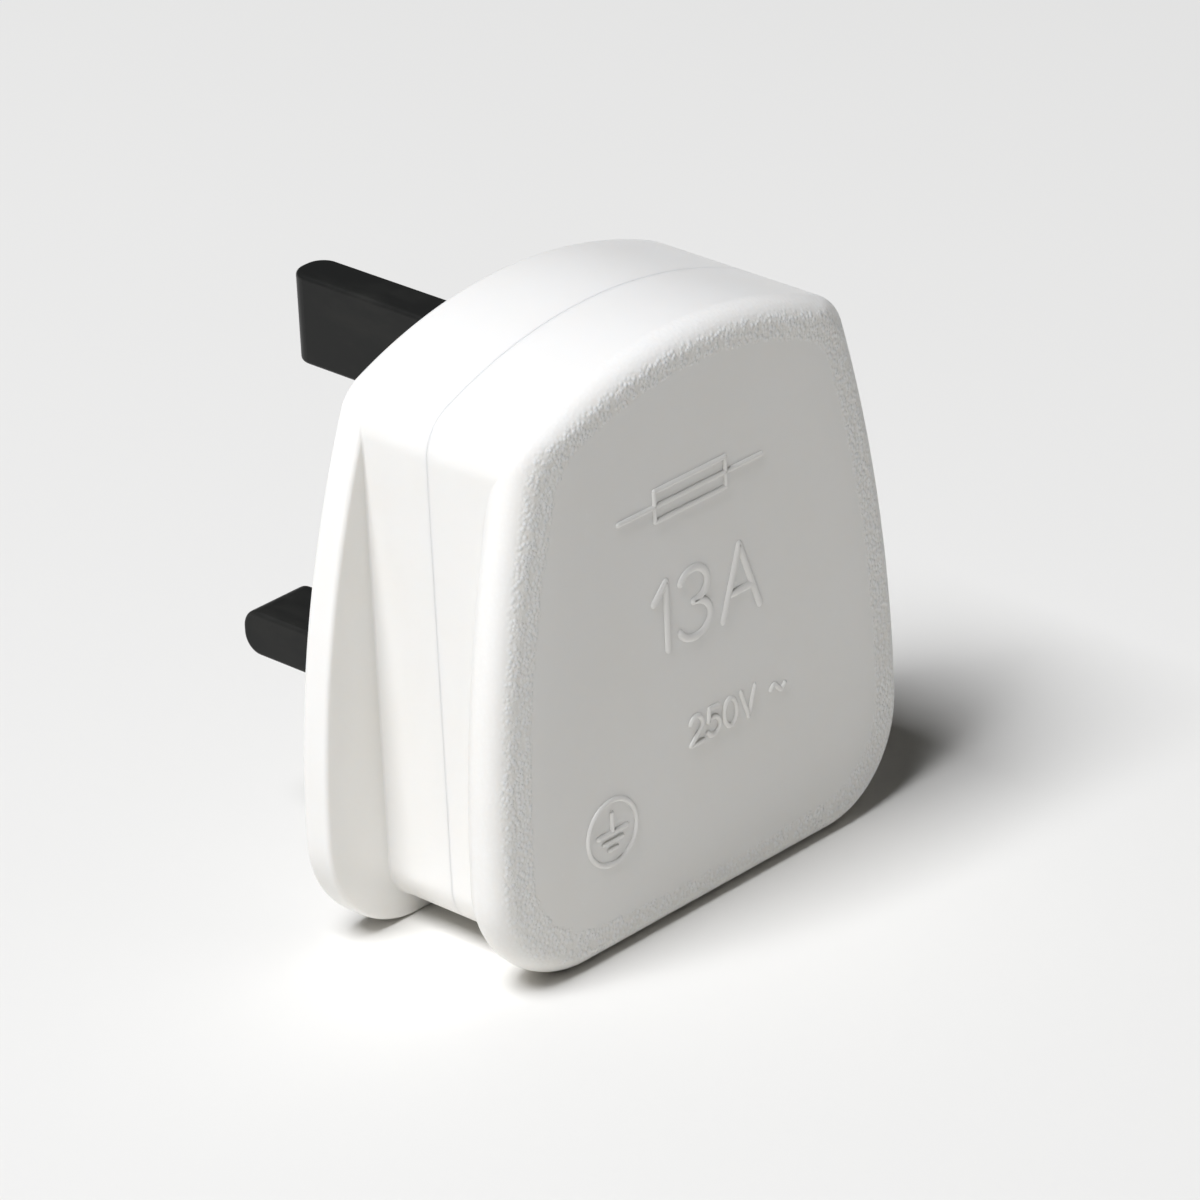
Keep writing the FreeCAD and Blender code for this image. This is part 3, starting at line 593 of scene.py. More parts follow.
def spark_grain(finish):
    """The rim's spark-eroded grain: its share of the surface, the share of each bump that is painted lighter
    as a painted highlight, and its height in millimetres.

    It is shallower where the rim turns to the side, because the moulding slides out of its mould there.
    """
    band = finish.node("ShaderNodeAttribute", {"attribute_name": "grain"}, {}, "Fac")
    ragged = finish.noise(RAGGED_SIZE, 3.0) - 0.5
    share = finish.ease(band + ragged * RAGGED_REACH, 0.2, 0.8)
    facing = finish.node("ShaderNodeNewGeometry", {}, {}, "Normal")
    front = -1 * finish.node("ShaderNodeSeparateXYZ", {}, {0: facing}, "Y")
    height = SIDE_SHARE + (1 - SIDE_SHARE) * finish.ease(front, 0.72, 0.98)
    bumps = finish.ease(finish.cells(BUMP_SIZE), 0.75, 0.1)
    uneven = finish.noise(UNEVEN_SIZE, 2.0)
    share = height * share
    return share, bumps, (bumps * BUMP_HEIGHT + uneven * UNEVEN_HEIGHT) * share


def shell_plastic(name, inner_light):
    """White gloss plastic with a grained rim whose bumps carry a painted highlight, a trace of cream and a
    few specks of dust.
    """
    finish = Finish(name, IOR=1.5, Subsurface_Weight=inner_light,
                    Subsurface_Scale=INNER_LIGHT_SCALE * MM, Subsurface_Radius=INNER_LIGHT_REACH)
    share, painted_highlight_share, grain = spark_grain(finish)
    peel = finish.noise(2.4, 1.0) * 0.006
    finish.relief(grain + peel)
    cream = finish.ease(finish.noise(9.0, 3.0), 0.35, 0.75)
    plain = finish.blend(cream, *SHELL_TONES)
    # painted highlight: the grain's colour whitens towards each bump's middle
    grained = finish.blend(painted_highlight_share, *GRAIN_PAINTED_HIGHLIGHT_TONES)
    body = finish.blend(share, plain, grained)
    chance = finish.node("ShaderNodeSeparateColor", {}, {0: finish.cells(DUST_CELL, "Color")})
    speck = (finish.cells(DUST_CELL) < DUST_REACH) * (chance > DUST_RARITY)
    finish.feed("Base Color", finish.blend(speck, body, DUST_TONE))
    finish.feed("Roughness", 0.27 + share * 0.2 + finish.noise(1.6, 3.0) * 0.06)
    return finish.material


def pin_black():
    """Black plated brass with a satin face and slightly rubbed patches."""
    finish = Finish("pin_black_plating", IOR=1.5, Specular_IOR_Level=0.13)
    rubbed = finish.ease(finish.noise(3.0, 4.0, 0.6, (1, 0.35, 1)), 0.45, 0.8)
    finish.feed("Base Color", finish.blend(rubbed, *PIN_TONES))
    finish.feed("Roughness", 0.36 + rubbed * 0.14)
    finish.relief(finish.noise(0.25, 2.0) * 0.002)
    return finish.material


def sleeve_black():
    """Black insulating sleeve, moulded on and a little duller than the pin."""
    finish = Finish("sleeve_black_plastic", IOR=1.48, Specular_IOR_Level=0.12)
    worn = finish.noise(1.4, 3.0)
    finish.feed("Base Color", finish.blend(worn, *SLEEVE_TONES))
    finish.feed("Roughness", 0.42 + worn * 0.12)
    finish.relief(finish.noise(0.3, 2.0) * 0.003)
    return finish.material


def metal(name, bright, dull, grain, roughness):
    """A metal with fine tool marks and duller patches."""
    finish = Finish(name, Metallic=1.0)
    marks = finish.noise(0.5, 2.0, 0.5, grain)
    patch = finish.ease(finish.noise(2.2, 3.0), 0.4, 0.75)
    finish.feed("Base Color", finish.blend(patch, bright, dull))
    finish.feed("Roughness", roughness + marks * 0.15 + patch * 0.1)
    finish.relief(marks * 0.004)
    return finish.material


def ceramic():
    """Unglazed ceramic with fine pores."""
    finish = Finish("fuse_ceramic_body", IOR=1.5)
    pore = finish.ease(finish.cells(0.35), 0.1, 0.3)
    tone = finish.noise(2.0, 3.0)
    finish.feed("Base Color", finish.blend(tone, *CERAMIC_TONES))
    finish.feed("Roughness", 0.75 - pore * 0.15)
    finish.relief(pore * 0.008)
    return finish.material


def fibre():
    """Red pressed fibre with visible flecks."""
    finish = Finish("retainer_red_fibre", IOR=1.45)
    fleck = finish.ease(finish.noise(0.3, 3.0, 0.6, (1, 4, 1)), 0.4, 0.65)
    finish.feed("Base Color", finish.blend(fleck, *FIBRE_TONES))
    finish.feed("Roughness", 0.7 + fleck * 0.15)
    finish.relief(fleck * 0.01)
    return finish.material


def grip_plastic():
    """Grey moulded plastic with a fine matt grain."""
    finish = Finish("grip_grey_plastic", IOR=1.48)
    grain = finish.noise(0.35, 2.0)
    finish.feed("Base Color", finish.blend(grain, *GRIP_TONES))
    finish.feed("Roughness", 0.5 + grain * 0.15)
    finish.relief(grain * 0.01)
    return finish.material


def floor_paint():
    """A pale floor with the faintest unevenness."""
    finish = Finish("pale_floor", Specular_IOR_Level=0.0)
    tone = finish.noise(60.0, 2.0)
    finish.feed("Base Color", finish.blend(tone, *FLOOR_TONES))
    finish.feed("Roughness", 0.9 + tone * 0.05)
    return finish.material


# Shells

RIM = Bulged(RIM_HALF)
FLANGE_EDGE = Bulged(BASE_HALF)
CREST = Bulged(RIM_HALF - CREST_INSET, FOOT + CREST_INSET, CORNER_RADIUS - CREST_INSET,
               ARCH_RADIUS - CREST_INSET, CREST_SHOULDER, WAIST_HALF - CREST_INSET - CREST_SHOULDER)
PANEL_INSET = RIM_ROUNDING + PANEL_EDGE_FLAT
PANEL = Bulged(RIM_HALF - PANEL_MARGIN, FOOT + PANEL_INSET, PANEL_CORNER, ARCH_RADIUS - PANEL_INSET,
               PANEL_SHOULDER, WAIST_HALF - PANEL_SHOULDER_INSET - PANEL_SHOULDER)
PANEL_CENTRE = (0.0, -4.0)
PANEL_DEPTH = PLUG_DEPTH - PANEL_RISE


def overhang_rings(loft, edge, waist, lip, way, rounding, crease, grain=0.0):
    """From an overhang's edge, round its rear, through a hollow crease and on to the waist.

    The rounded edge and the hollow crease touch where the overhang is narrow.
    Elsewhere a flat lies between them.
    Gives the depth at which each point reaches the waist.
    """
    widths = gaps(edge, waist)
    both = rounding + crease
    turns = [math.acos(max(both - w, 0.0) / both) for w in widths]
    rises = [both * math.sin(turn) for turn in turns]
    faded = [grain * min(w, 1.0) for w in widths]
    steps = OVERHANG_STEPS

    def ring(offsets, depths, share):
        shares = [o / w if w > MERGE else 0.0 for o, w in zip(offsets, widths)]
        loft.ring(between(edge, waist, shares), [lip + way * d for d in depths],
                  [g * (1 - share) for g in faded])

    for i in range(steps + 1):
        part = [turn * i / steps for turn in turns]
        ring([rounding * (1 - math.cos(p)) for p in part], [rounding * math.sin(p) for p in part],
             smooth(i / steps))
    for i in range(steps + 1):
        part = [turn * (1 - i / steps) for turn in turns]
        ring([w - crease + crease * math.cos(p) for w, p in zip(widths, part)],
             [rise - crease * math.sin(p) for rise, p in zip(rises, part)], 1.0)
    return [lip + way * rise for rise in rises]


def inner_rings(loft, beside, seam_way, floor):
    """The seam's bevel, the parting face and the hollow's wall."""
    loft.ring(waist_half(beside), PARTING + SEAM * seam_way)
    loft.ring(waist_half(beside, SEAM), PARTING)
    hollow = cavity_half()
    loft.ring(hollow, PARTING)
    loft.ring(hollow, floor)


def cover_skin():
    """The cover from the panel's middle, over the rim and down the waist, into its hollow."""
    loft = Loft((PANEL_CENTRE[0], PANEL_DEPTH, PANEL_CENTRE[1]))
    flat = PANEL.half(PANEL_FALL_WIDTH)
    crest = CREST.half()
    edge = RIM.half()
    widths = gaps(flat, crest)
    bare = gaps(flat, PANEL.half())
    falls = [PANEL_FALL * sideways ** 2 for sideways in PANEL.sideways()]
    for share in FACE_SHARES:
        loft.ring(toward(flat, PANEL_CENTRE, share), PANEL_DEPTH)
    for i in range(PANEL_EDGE_STEPS + 1):
        share = i / PANEL_EDGE_STEPS
        grain = [smooth((share * w - b) / GRAIN_FADE + 0.5) for w, b in zip(widths, bare)]
        loft.ring(between(flat, crest, [share] * len(flat)),
                  [PANEL_DEPTH - fall * share ** 2 for fall in falls], grain)
    lip = PANEL_DEPTH - RIM_ROUNDING
    for i in range(1, RIM_STEPS + 1):
        turn = math.pi / 2 * (1 - i / RIM_STEPS)
        loft.ring(between(crest, edge, [math.cos(turn)] * len(edge)),
                  [lip + (RIM_ROUNDING - fall) * math.sin(turn) for fall in falls], 1.0)

    waist = waist_half(RIM)
    lip -= RIM_FLAT
    wall = overhang_rings(loft, edge, waist, lip, -1, RIM_ROUNDING, RIM_CREASE, 1.0)
    for share in WALL_SHARES:
        loft.ring(waist, [mix(d, PARTING + SEAM, share) for d in wall])
    inner_rings(loft, RIM, 1, CAVITY_FRONT)
    return loft.finish("cover_shell", (0.0, CAVITY_FRONT, PANEL_CENTRE[1]))


def base_skin():
    """The base from the pin face's middle, over the flange and along the waist, into its hollow."""
    loft = Loft((PANEL_CENTRE[0], 0.0, PANEL_CENTRE[1]))
    face = FLANGE_EDGE.half(PIN_FACE_ROUNDING)
    for share in (*FACE_SHARES, 1.0):
        loft.ring(toward(face, PANEL_CENTRE, share), 0.0)
    for i in range(1, PIN_FACE_STEPS + 1):
        turn = math.pi / 2 * i / PIN_FACE_STEPS
        loft.ring(FLANGE_EDGE.half(PIN_FACE_ROUNDING * (1 - math.sin(turn))),
                  PIN_FACE_ROUNDING * (1 - math.cos(turn)))
    waist = waist_half(FLANGE_EDGE)
    lip = FLANGE - FLANGE_EDGE_ROUNDING
    wall = overhang_rings(loft, FLANGE_EDGE.half(), waist, lip, 1, FLANGE_EDGE_ROUNDING, FLANGE_CREASE)
    for share in WALL_SHARES:
        loft.ring(waist, [mix(d, PARTING - SEAM, share) for d in wall])
    inner_rings(loft, FLANGE_EDGE, -1, FLANGE)
    return loft.finish("base_shell", (0.0, FLANGE, PANEL_CENTRE[1]))


# Stage

# the focal length is in pixels of the photograph
PHOTO_WIDTH = 1200
CAMERA_FOCAL = 7163.57
CAMERA_AZIMUTH = math.radians(45.59)
CAMERA_ELEVATION = math.radians(26.25)
CAMERA_ROLL = math.radians(-2.77)
CAMERA_DISTANCE = 577.64
CAMERA_AIM = (-6.96, 7.77)
CAMERA_SENSOR = 36.0
CAMERA_NEAR = 10.0
CAMERA_FAR = 100000.0
FLOOR_HALF = 3000.0
KEY_PLACE = (-1080, 60, 2050)
KEY_SIZE = 1000
KEY_POWER = 68.0
KEY_TINT = (0.975, 0.992, 1.04)
SKY_STRENGTH = 0.03


def make_camera():
    """The camera that sees the plug as the photograph does."""
    a, e, r = CAMERA_AZIMUTH, CAMERA_ELEVATION, CAMERA_ROLL
    back = Vector((-math.sin(a) * math.cos(e), -math.cos(a) * math.cos(e), math.sin(e)))
    right = Vector((math.cos(a), -math.sin(a), 0))
    up = back.cross(right)
    right, up = math.cos(r) * right + math.sin(r) * up, math.cos(r) * up - math.sin(r) * right
    data = bpy.data.cameras.new("camera")
    data.sensor_width = CAMERA_SENSOR
    data.lens = CAMERA_SENSOR * CAMERA_FOCAL / PHOTO_WIDTH
    data.clip_start = CAMERA_NEAR * MM
    data.clip_end = CAMERA_FAR * MM
    camera = bpy.data.objects.new("camera", data)
    eye = (back * CAMERA_DISTANCE - right * CAMERA_AIM[0] - up * CAMERA_AIM[1]) * MM
    turn = Matrix((right, up, back)).transposed().to_4x4()
    camera.matrix_world = Matrix.Translation(eye) @ turn
    bpy.context.scene.collection.objects.link(camera)
    bpy.context.scene.camera = camera


def make_floor():
    """A wide floor under the plug's foot."""
    far = FLOOR_HALF
    corners = [(-far, -far, FOOT), (far, -far, FOOT), (far, far, FOOT), (-far, far, FOOT)]
    floor = new_object("floor", corners, [(0, 3, 2, 1)])
    clean(floor.data)
    floor.data.materials.append(floor_paint())


def make_light():
    """One large soft lamp, high on the left, and a faint even sky."""
    world = bpy.data.worlds.new("studio")
    bpy.context.scene.world = world
    world.use_nodes = True
    sky = world.node_tree.nodes["Background"]
    sky.inputs["Color"].default_value = colour(1.0, 1.0, 1.0)
    sky.inputs["Strength"].default_value = SKY_STRENGTH
    data = bpy.data.lights.new("key", "AREA")
    data.size = KEY_SIZE * MM
    data.energy = KEY_POWER
    data.color = KEY_TINT
    lamp = bpy.data.objects.new("key", data)
    lamp.location = Vector(KEY_PLACE) * MM
    lamp.rotation_euler = (-lamp.location).to_track_quat("-Z", "Y").to_euler()
    bpy.context.scene.collection.objects.link(lamp)
    bpy.context.scene.view_settings.view_transform = "Standard"


# What is inside the shells, added and cut as the real mouldings have it

# half the width and height of each pin's hole, without its gap
PIN_HALF = {"earth_pin": (2.0, 4.0), "neutral_pin_sleeve": (3.175, 2.0), "live_pin_sleeve": (3.175, 2.0)}
CLAMP_SHANK = 1.6
COVER_SHANK = 1.45
GRIP_SHANK = 1.3
COVER_SCREW_SEAT = 2.6
RIB_HEIGHT = 2.5
RIB_WALL = 1.2
RIB_GAP = 0.15
POST_GAP = 0.15
POST_HALF = 2.0
POST_START = 1.2
POST_LENGTH = 3.0
LIVE_POST_WALL = 1.2
SADDLE_HALF = 5.0
SADDLE_WIDTH = 4.0
SADDLE_DEPTH = 8.5
CORD_RADIUS = 3.6
INLET_RADIUS = 4.25
GRIP_BOSS_RADIUS = 3.0
GRIP_BOSS_DEPTH = -node_box("cord_grip_bar")[1].y
BASE_BOSS_RADIUS = 4.6
COVER_BOSS_RADIUS = 4.2
HOLE_GAP = 0.25
THREAD_GAP = 0.05
PIN_GAP = 0.1
OVERLAP = 0.6


def middle(name):
    """The middle of a node, as (x, z)."""
    low, high = node_box(name)
    return (low.x + high.x) / 2, (low.z + high.z) / 2


def span(name, axis, grow=0.0):
    """How far a node reaches along an axis, in millimetres."""
    low, high = node_box(name)
    return getattr(low, axis) - grow, getattr(high, axis) + grow


def inlet():
    """The round way in for the cord, half in each shell."""
    return rod_solid((0.0, PARTING), INLET_RADIUS, (FOOT - OVERLAP, CAVITY_FOOT + OVERLAP), upright=True)


def fit_out_base(piece):
    """Seats, saddle and bosses on the floor, then the holes."""
    floor = FLANGE - OVERLAP
    screw = middle("cover_screw")
    grips = [middle("cord_grip_screw_left"), middle("cord_grip_screw_right")]
    bar_z = grips[0][1]
    seats = [frame_solid(span(name, "x"), span(name, "z"), RIB_GAP, RIB_WALL, (floor, FLANGE + RIB_HEIGHT))
             for name in ("earth_pin", "neutral_pin", "live_pin", "live_terminal")]
    saddle = box_solid((-SADDLE_HALF, SADDLE_HALF), (floor, SADDLE_DEPTH),
                       (bar_z - SADDLE_WIDTH / 2, bar_z + SADDLE_WIDTH / 2))
    bosses = [rod_solid(at, GRIP_BOSS_RADIUS, (floor, GRIP_BOSS_DEPTH)) for at in grips]
    centre = rod_solid(screw, BASE_BOSS_RADIUS, (floor, PARTING))
    combine(piece, "UNION", [*seats, saddle, *bosses, centre])

    below = -OVERLAP
    holes = []
    for name in ("earth_pin", "neutral_pin_sleeve", "live_pin_sleeve"):
        x, z = middle(name)
        half = PIN_HALF[name]
        holes.append(box_solid((x - half[0] - PIN_GAP, x + half[0] + PIN_GAP), (below, FLANGE + OVERLAP),
                               (z - half[1] - PIN_GAP, z + half[1] + PIN_GAP)))
    holes.append(rod_solid(screw, COVER_SHANK + HOLE_GAP, (below, PARTING + OVERLAP)))
    holes.append(rod_solid(screw, node_box("cover_screw")[1].x + HOLE_GAP, (below, COVER_SCREW_SEAT)))
    washer = node_box("cover_screw_retainer")
    holes.append(rod_solid(screw, washer[1].x + PIN_GAP, (-washer[1].y - PIN_GAP, PARTING + OVERLAP)))
    holes += [rod_solid(at, GRIP_SHANK + THREAD_GAP, (FLANGE, GRIP_BOSS_DEPTH + OVERLAP)) for at in grips]
    groove = (bar_z - SADDLE_WIDTH, bar_z + SADDLE_WIDTH)
    holes.append(rod_solid((0.0, PARTING), CORD_RADIUS, groove, upright=True))
    combine(piece, "DIFFERENCE", [*holes, inlet()])


def fit_out_cover(piece):
    """Boss and posts under the panel, then the bush's hole and the cord's way in."""
    ceiling = CAVITY_FRONT + OVERLAP
    screw = middle("cover_screw")
    solids = [rod_solid(screw, COVER_BOSS_RADIUS, (PARTING, ceiling))]
    for name in ("earth_pin", "neutral_pin"):
        x, z = middle(name)
        top = -node_box(name)[0].y + POST_GAP
        solids.append(box_solid((x - POST_HALF, x + POST_HALF), (top, ceiling),
                                (z + POST_START, z + POST_START + POST_LENGTH)))
    low, high = node_box("live_pin")
    left = low.x + POST_GAP
    upper = high.z - POST_GAP
    solids.append(box_solid((left, left + LIVE_POST_WALL), (-low.y + POST_GAP, ceiling),
                            (upper - POST_LENGTH, upper)))
    combine(piece, "UNION", solids)
    bush = node_box("cover_insert")
    hole = rod_solid(screw, bush[1].x + THREAD_GAP, (PARTING - OVERLAP, -bush[0].y))
    combine(piece, "DIFFERENCE", [hole, inlet()])


# Raised marks

MARK_RISE = 0.2
MARK_SINK = 0.08
FINE_STROKE = 0.5
BOLD_STROKE = 0.75
STROKE_SIDES = 14
STROKE_END_RINGS = 8
# ends that share a corner differ a little in size, so that their surfaces never coincide
STROKE_END_SIZES = (0.93, 1.0)
STROKE_END_SEED = 7
# the earth sign in shares of its size: its stem, half its bars, and the way from bar to bar
EARTH_STEM = 0.3
EARTH_BARS = (0.3, 0.19, 0.08)
EARTH_BAR_STEP = 0.13


def bow(centre, radii, start, end, count=18):
    """An arc of an ellipse between two angles in degrees, as a list of points."""
    turns = [math.radians(mix(start, end, i / count)) for i in range(count + 1)]
    return [(centre[0] + radii[0] * math.cos(a), centre[1] + radii[1] * math.sin(a)) for a in turns]


# strokes of each sign, one unit high
SIGNS = {
    "0": [bow((0.3, 0.5), (0.3, 0.5), 0, 360, 36)],
    "1": [[(0.08, 0.76), (0.32, 1.0)], [(0.32, 1.0), (0.32, 0.0)]],
    "2": [bow((0.3, 0.7), (0.3, 0.3), 165, -40) + [(0.0, 0.0)], [(0.0, 0.0), (0.6, 0.0)]],
    "3": [bow((0.28, 0.76), (0.27, 0.24), 155, -90), bow((0.28, 0.26), (0.31, 0.26), 90, -155)],
    "5": [[(0.54, 1.0), (0.1, 1.0)], [(0.1, 1.0), (0.05, 0.54)], bow((0.27, 0.33), (0.32, 0.33), 137, -150)],
    "A": [[(0.0, 0.0), (0.36, 1.0)], [(0.36, 1.0), (0.72, 0.0)], [(0.13, 0.34), (0.59, 0.34)]],
    "V": [[(0.0, 1.0), (0.34, 0.0)], [(0.34, 0.0), (0.68, 1.0)]],
    "L": [[(0.0, 1.0), (0.0, 0.0)], [(0.0, 0.0), (0.5, 0.0)]],
    "N": [[(0.0, 0.0), (0.0, 1.0)], [(0.0, 1.0), (0.6, 0.0)], [(0.6, 0.0), (0.6, 1.0)]],
    "~": [[(0.7 * i / 20, 0.5 + 0.14 * math.sin(2 * math.pi * i / 20)) for i in range(21)]],
    " ": [[(0.3, 0.5)]],
}
SIGN_GAP = 0.24


def written(signs, centre, height):
    """Strokes of a row of signs round a centre."""
    strokes = []
    reach = 0.0
    for sign in signs:
        strokes += [[(x + reach, y) for x, y in stroke] for stroke in SIGNS[sign] if len(stroke) > 1]
        reach += max(x for stroke in SIGNS[sign] for x, y in stroke) + SIGN_GAP
    half = (reach - SIGN_GAP) / 2
    return [[(centre[0] + (x - half) * height, centre[1] + (y - 0.5) * height) for x, y in stroke]
            for stroke in strokes]


def fuse_sign(centre, length, width, height):
    """A cartridge with a line through it."""
    x, y = centre
    corners = [(x - width / 2, y - height / 2), (x + width / 2, y - height / 2),
               (x + width / 2, y + height / 2), (x - width / 2, y + height / 2)]
    sides = [[corners[i], corners[(i + 1) % 4]] for i in range(4)]
    return [*sides, [(x - length / 2, y), (x + length / 2, y)]]


def earth_sign(centre, size, ringed=True):
    """A stem on three shortening bars, in a ring or bare."""
    x, y = centre
    strokes = [[(x, y + EARTH_STEM * size), (x, y)]]
    for step, half in enumerate(EARTH_BARS):
        level = y - EARTH_BAR_STEP * size * step
        strokes.append([(x - half * size, level), (x + half * size, level)])
    if ringed:
        strokes.append(bow(centre, (size / 2, size / 2), 0, 360, 48))
    return strokes


def raised_stroke():
    """A tree that turns flat paths into low rounded ridges with round ends."""
    shape = Shape("raised_stroke", "Width", "Rise", "Sink")
    path = shape.given("Geometry")
    radius = shape.given("Width") * 0.5
    ring = shape.node("GeometryNodeCurvePrimitiveCircle", {}, {"Resolution": STROKE_SIDES, "Radius": radius})
    ridge = shape.node("GeometryNodeCurveToMesh", {},
                       {"Curve": path, "Profile Curve": ring, "Fill Caps": True})
    ball = shape.node("GeometryNodeMeshUVSphere", {},
                      {"Segments": STROKE_SIDES, "Rings": STROKE_END_RINGS, "Radius": radius})
    tips = shape.node("GeometryNodeCurveEndpointSelection", {}, {})
    least, most = STROKE_END_SIZES
    size = shape.node("FunctionNodeRandomValue", {"data_type": "FLOAT"},
                      {2: least, 3: most, "Seed": STROKE_END_SEED}, 1)
    ends = shape.node("GeometryNodeInstanceOnPoints", {},
                      {"Points": path, "Selection": tips, "Instance": ball, "Scale": size})
    joined = shape.node("GeometryNodeJoinGeometry", {}, {"Geometry": [ridge, ends]})
    real = shape.node("GeometryNodeRealizeInstances", {}, {"Geometry": joined})
    tall = (shape.given("Rise") + shape.given("Sink")) / radius
    squeeze = shape.node("ShaderNodeCombineXYZ", {}, {"X": 1.0, "Y": 1.0, "Z": tall})
    here = shape.node("GeometryNodeInputPosition", {}, {})
    there = shape.node("ShaderNodeVectorMath", {"operation": "MULTIPLY"}, {0: here, 1: squeeze})
    lower = shape.node("ShaderNodeCombineXYZ", {}, {"Z": shape.given("Sink") * -1.0})
    low = shape.node("GeometryNodeSetPosition", {}, {"Geometry": real, "Position": there, "Offset": lower})
    shape.close(shape.node("GeometryNodeSetShadeSmooth", {}, {"Geometry": low}))
    return shape


def raise_marks(name, shape, strokes, width, depth, material, behind=False):
    """Makes strokes stand on a face at a depth, seen from the cover or from behind."""
    path = bpy.data.curves.new(name + "_path", "CURVE")
    path.dimensions = "3D"
    for stroke in strokes:
        spline = path.splines.new("POLY")
        spline.points.add(len(stroke) - 1)
        for point, (x, y) in zip(spline.points, stroke):
            point.co = (x * MM, y * MM, 0.0, 1.0)
    drawn = bpy.data.objects.new(name + "_path", path)
    bpy.context.scene.collection.objects.link(drawn)
    values = {"Width": width * MM, "Rise": MARK_RISE * MM, "Sink": MARK_SINK * MM, "Material": material}
    mesh = shape.mesh_of(drawn, values)
    bpy.data.objects.remove(drawn)
    turn = Matrix.Rotation(math.pi / 2, 4, "X")
    if behind:
        turn = Matrix.Rotation(math.pi, 4, "Z") @ turn
    mesh.transform(Matrix.Translation((0, -depth * MM, 0)) @ turn)
    marks = bpy.data.objects.new(name, mesh)
    bpy.context.scene.collection.objects.link(marks)
    dress(marks, material, "shell_white")


# Screws

SLOT_WIDTH = 0.8
SLOT_DEPTH = 0.9
# head height, shank radius and thread pitch
SCREW_KINDS = {
    "clamp": (1.8, CLAMP_SHANK, 0.7),
    "cover": (2.0, COVER_SHANK, 0.6),
    "grip": (1.6, GRIP_SHANK, 1.0),
}
# the head's dome, in shares of its height: points above the first fall by up to the second at the edge
DOME_START = 0.2
DOME_FALL = 0.28
# the slot's length in head radii, the thread's depth in pitches, and its length and foot in shank lengths
SLOT_REACH = 2.4
THREAD_DEPTH = 0.3
THREAD_LENGTH = 0.9
THREAD_FOOT = 0.97
HEAD_SIDES = 72
SHANK_SIDES = 48
TURN_POINTS = 24


def slotted_screw():
    """A tree for a screw on the Z axis: a domed slotted head above its seat, a threaded shank below."""
    sizes = ("Head Radius", "Head Height", "Shank Radius", "Shank Length",
             "Pitch", "Slot Width", "Slot Depth")
    shape = Shape("slotted_screw", *sizes)
    head, height, shank, length, pitch, width, deep = (shape.given(size) for size in sizes)

    def lifted(geometry, rise):
        """Geometry moved along the screw."""
        place = shape.node("ShaderNodeCombineXYZ", {}, {"Z": rise})
        return shape.node("GeometryNodeTransform", {}, {"Geometry": geometry, "Translation": place})

    blank = shape.node("GeometryNodeMeshCylinder", {"fill_type": "TRIANGLE_FAN"},
                       {"Vertices": HEAD_SIDES, "Side Segments": 4, "Fill Segments": 10,
                        "Radius": head, "Depth": height})
    here = shape.node("GeometryNodeInputPosition", {}, {})
    flat = shape.node("ShaderNodeVectorMath", {"operation": "MULTIPLY"}, {0: here, 1: (1.0, 1.0, 0.0)})
    reach = shape.node("ShaderNodeVectorMath", {"operation": "LENGTH"}, {0: flat}, "Value") / head
    above = shape.node("ShaderNodeSeparateXYZ", {}, {0: here}, "Z") > height * DOME_START
    drop = above * reach * reach * reach * reach * height * -DOME_FALL
    fall = shape.node("ShaderNodeCombineXYZ", {}, {"Z": drop})
    dome = shape.node("GeometryNodeSetPosition", {}, {"Geometry": blank, "Offset": fall})
    domed = lifted(dome, height * 0.5)
    bar = shape.node("ShaderNodeCombineXYZ", {}, {"X": head * SLOT_REACH, "Y": width, "Z": deep * 2.0})
    slot = lifted(shape.node("GeometryNodeMeshCube", {}, {"Size": bar}), height)
    cut = shape.node("GeometryNodeMeshBoolean", {"operation": "DIFFERENCE"}, {0: domed, 1: slot})

    depth = pitch * THREAD_DEPTH
    root = shank - depth
    core = shape.node("GeometryNodeMeshCylinder", {},
                      {"Vertices": SHANK_SIDES, "Radius": root, "Depth": length})
    rise = length * THREAD_LENGTH
    path = shape.node("GeometryNodeCurveSpiral", {},
                      {"Resolution": TURN_POINTS, "Rotations": rise / pitch, "Start Radius": root,
                       "End Radius": root, "Height": rise})
    ridge = shape.node("GeometryNodeCurvePrimitiveCircle", {}, {"Resolution": 4, "Radius": depth})
    thread = shape.node("GeometryNodeCurveToMesh", {},
                        {"Curve": path, "Profile Curve": ridge, "Fill Caps": True})
    parts = [cut, lifted(core, length * -0.5), lifted(thread, length * -THREAD_FOOT)]
    shape.close(shape.node("GeometryNodeJoinGeometry", {}, {"Geometry": parts}))
    return shape


def make_screw(shape, name, kind, material, slot, head_to_cover=True):
    """A screw in the place of its solid."""
    low, high = node_box(name)
    head_height, shank, pitch = SCREW_KINDS[kind]
    values = {"Head Radius": (high.x - low.x) / 2, "Head Height": head_height, "Shank Radius": shank,
              "Shank Length": high.y - low.y - head_height, "Pitch": pitch,
              "Slot Width": SLOT_WIDTH, "Slot Depth": SLOT_DEPTH}
    values = {size: number * MM for size, number in values.items()}
    blank = new_object(name + "_blank", [], [])
    mesh = shape.mesh_of(blank, {**values, "Material": material})
    bpy.data.objects.remove(blank)
    x, z = middle(name)
    seat = low.y + head_height if head_to_cover else high.y - head_height
    turn = Matrix.Rotation(math.pi / 2 if head_to_cover else -math.pi / 2, 4, "X")
    mesh.transform(Matrix.Translation(Vector((x, seat, z)) * MM) @ turn)
    screw = bpy.data.objects.new(name + "_threaded", mesh)
    bpy.context.scene.collection.objects.link(screw)
    shade(screw)
    dress(screw, material, slot, name)


# Pieces

shell = shell_plastic("shell_white_plastic", INNER_LIGHT)
mark = shell_plastic("mark_white_plastic", 0.0)
cover = cover_skin()
fit_out_cover(cover)
shade(cover)
dress(cover, shell, "shell_white", "cover")
base = base_skin()
fit_out_base(base)
shade(base)
dress(base, shell, "shell_white", "base")

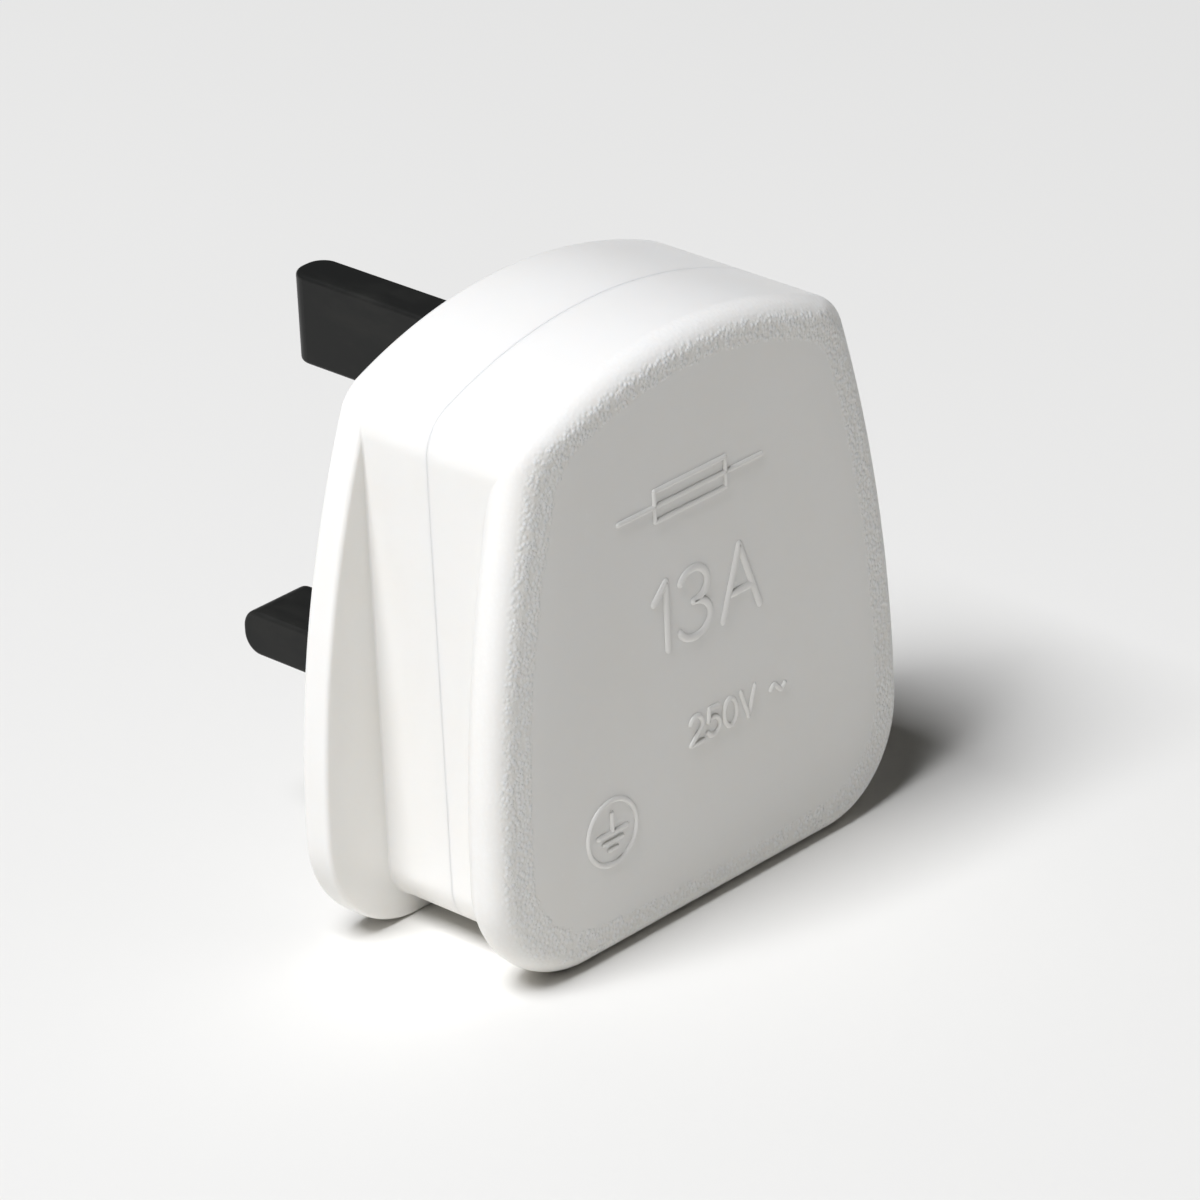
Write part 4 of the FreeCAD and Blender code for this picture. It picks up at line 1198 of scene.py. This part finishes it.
# each mark's strokes, from its middle and its size, and how wide they are
PANEL_MARKS = {
    "fuse_mark": (fuse_sign((-0.9, 7.65), 16.6, 8.2, 2.6), FINE_STROKE),
    "current_mark": (written("13A", (0.3, -2.2), 6.0), BOLD_STROKE),
    "voltage_mark": (written("250V ~", (3.6, -13.4), 2.4), FINE_STROKE),
    "earth_mark": (earth_sign((-11.4, -18.4), 5.6), FINE_STROKE),
}
PIN_FACE_MARKS = {
    "live_mark": (written("L", (-17.8, -11.1), 2.6), FINE_STROKE),
    "neutral_mark": (written("N", (17.8, -11.1), 2.6), FINE_STROKE),
    "earth_pin_mark": (earth_sign((-7.0, 11.0), 4.4, ringed=False), FINE_STROKE),
}
ridge = raised_stroke()
for name, (strokes, width) in PANEL_MARKS.items():
    raise_marks(name, ridge, strokes, width, PANEL_DEPTH, mark)
for name, (strokes, width) in PIN_FACE_MARKS.items():
    raise_marks(name, ridge, strokes, width, 0.0, mark, behind=True)

FINISHES = {
    pin_black(): ("earth_pin", "neutral_pin", "live_pin"),
    sleeve_black(): ("neutral_pin_sleeve", "live_pin_sleeve"),
    metal("terminal_brass", *BRASS_TONES, (1, 4, 1), 0.28): ("live_terminal",),
    metal("clip_brass", *BRASS_TONES, (4, 1, 1), 0.22): ("live_pin_clip", "live_terminal_clip"),
    ceramic(): ("fuse_tube",),
    metal("fuse_cap_nickel", *NICKEL_TONES, (1, 1, 5), 0.2): ("fuse_cap_lower", "fuse_cap_upper"),
    metal("fuse_wire", *NICKEL_TONES, (1, 1, 0.3), 0.3): ("fuse_element",),
    metal("bush_brass", *BRASS_TONES, (1, 5, 1), 0.3): ("cover_insert",),
    fibre(): ("cover_screw_retainer",),
    grip_plastic(): ("cord_grip_bar",),
}
for finish, names in FINISHES.items():
    for name in names:
        NODES[name].material_slots[0].material = finish

threaded = slotted_screw()
brass = metal("clamp_screw_brass", *BRASS_TONES, (1, 5, 1), 0.3)
steel = metal("screw_steel", *STEEL_TONES, (1, 5, 1), 0.3)
for name in ("earth_clamp_screw", "neutral_clamp_screw", "live_clamp_screw"):
    make_screw(threaded, name, "clamp", brass, "clamp_screw_brass")
for name in ("cord_grip_screw_left", "cord_grip_screw_right"):
    make_screw(threaded, name, "grip", steel, "screw_steel")
make_screw(threaded, "cover_screw", "cover", steel, "screw_steel", head_to_cover=False)

make_camera()
make_floor()
make_light()
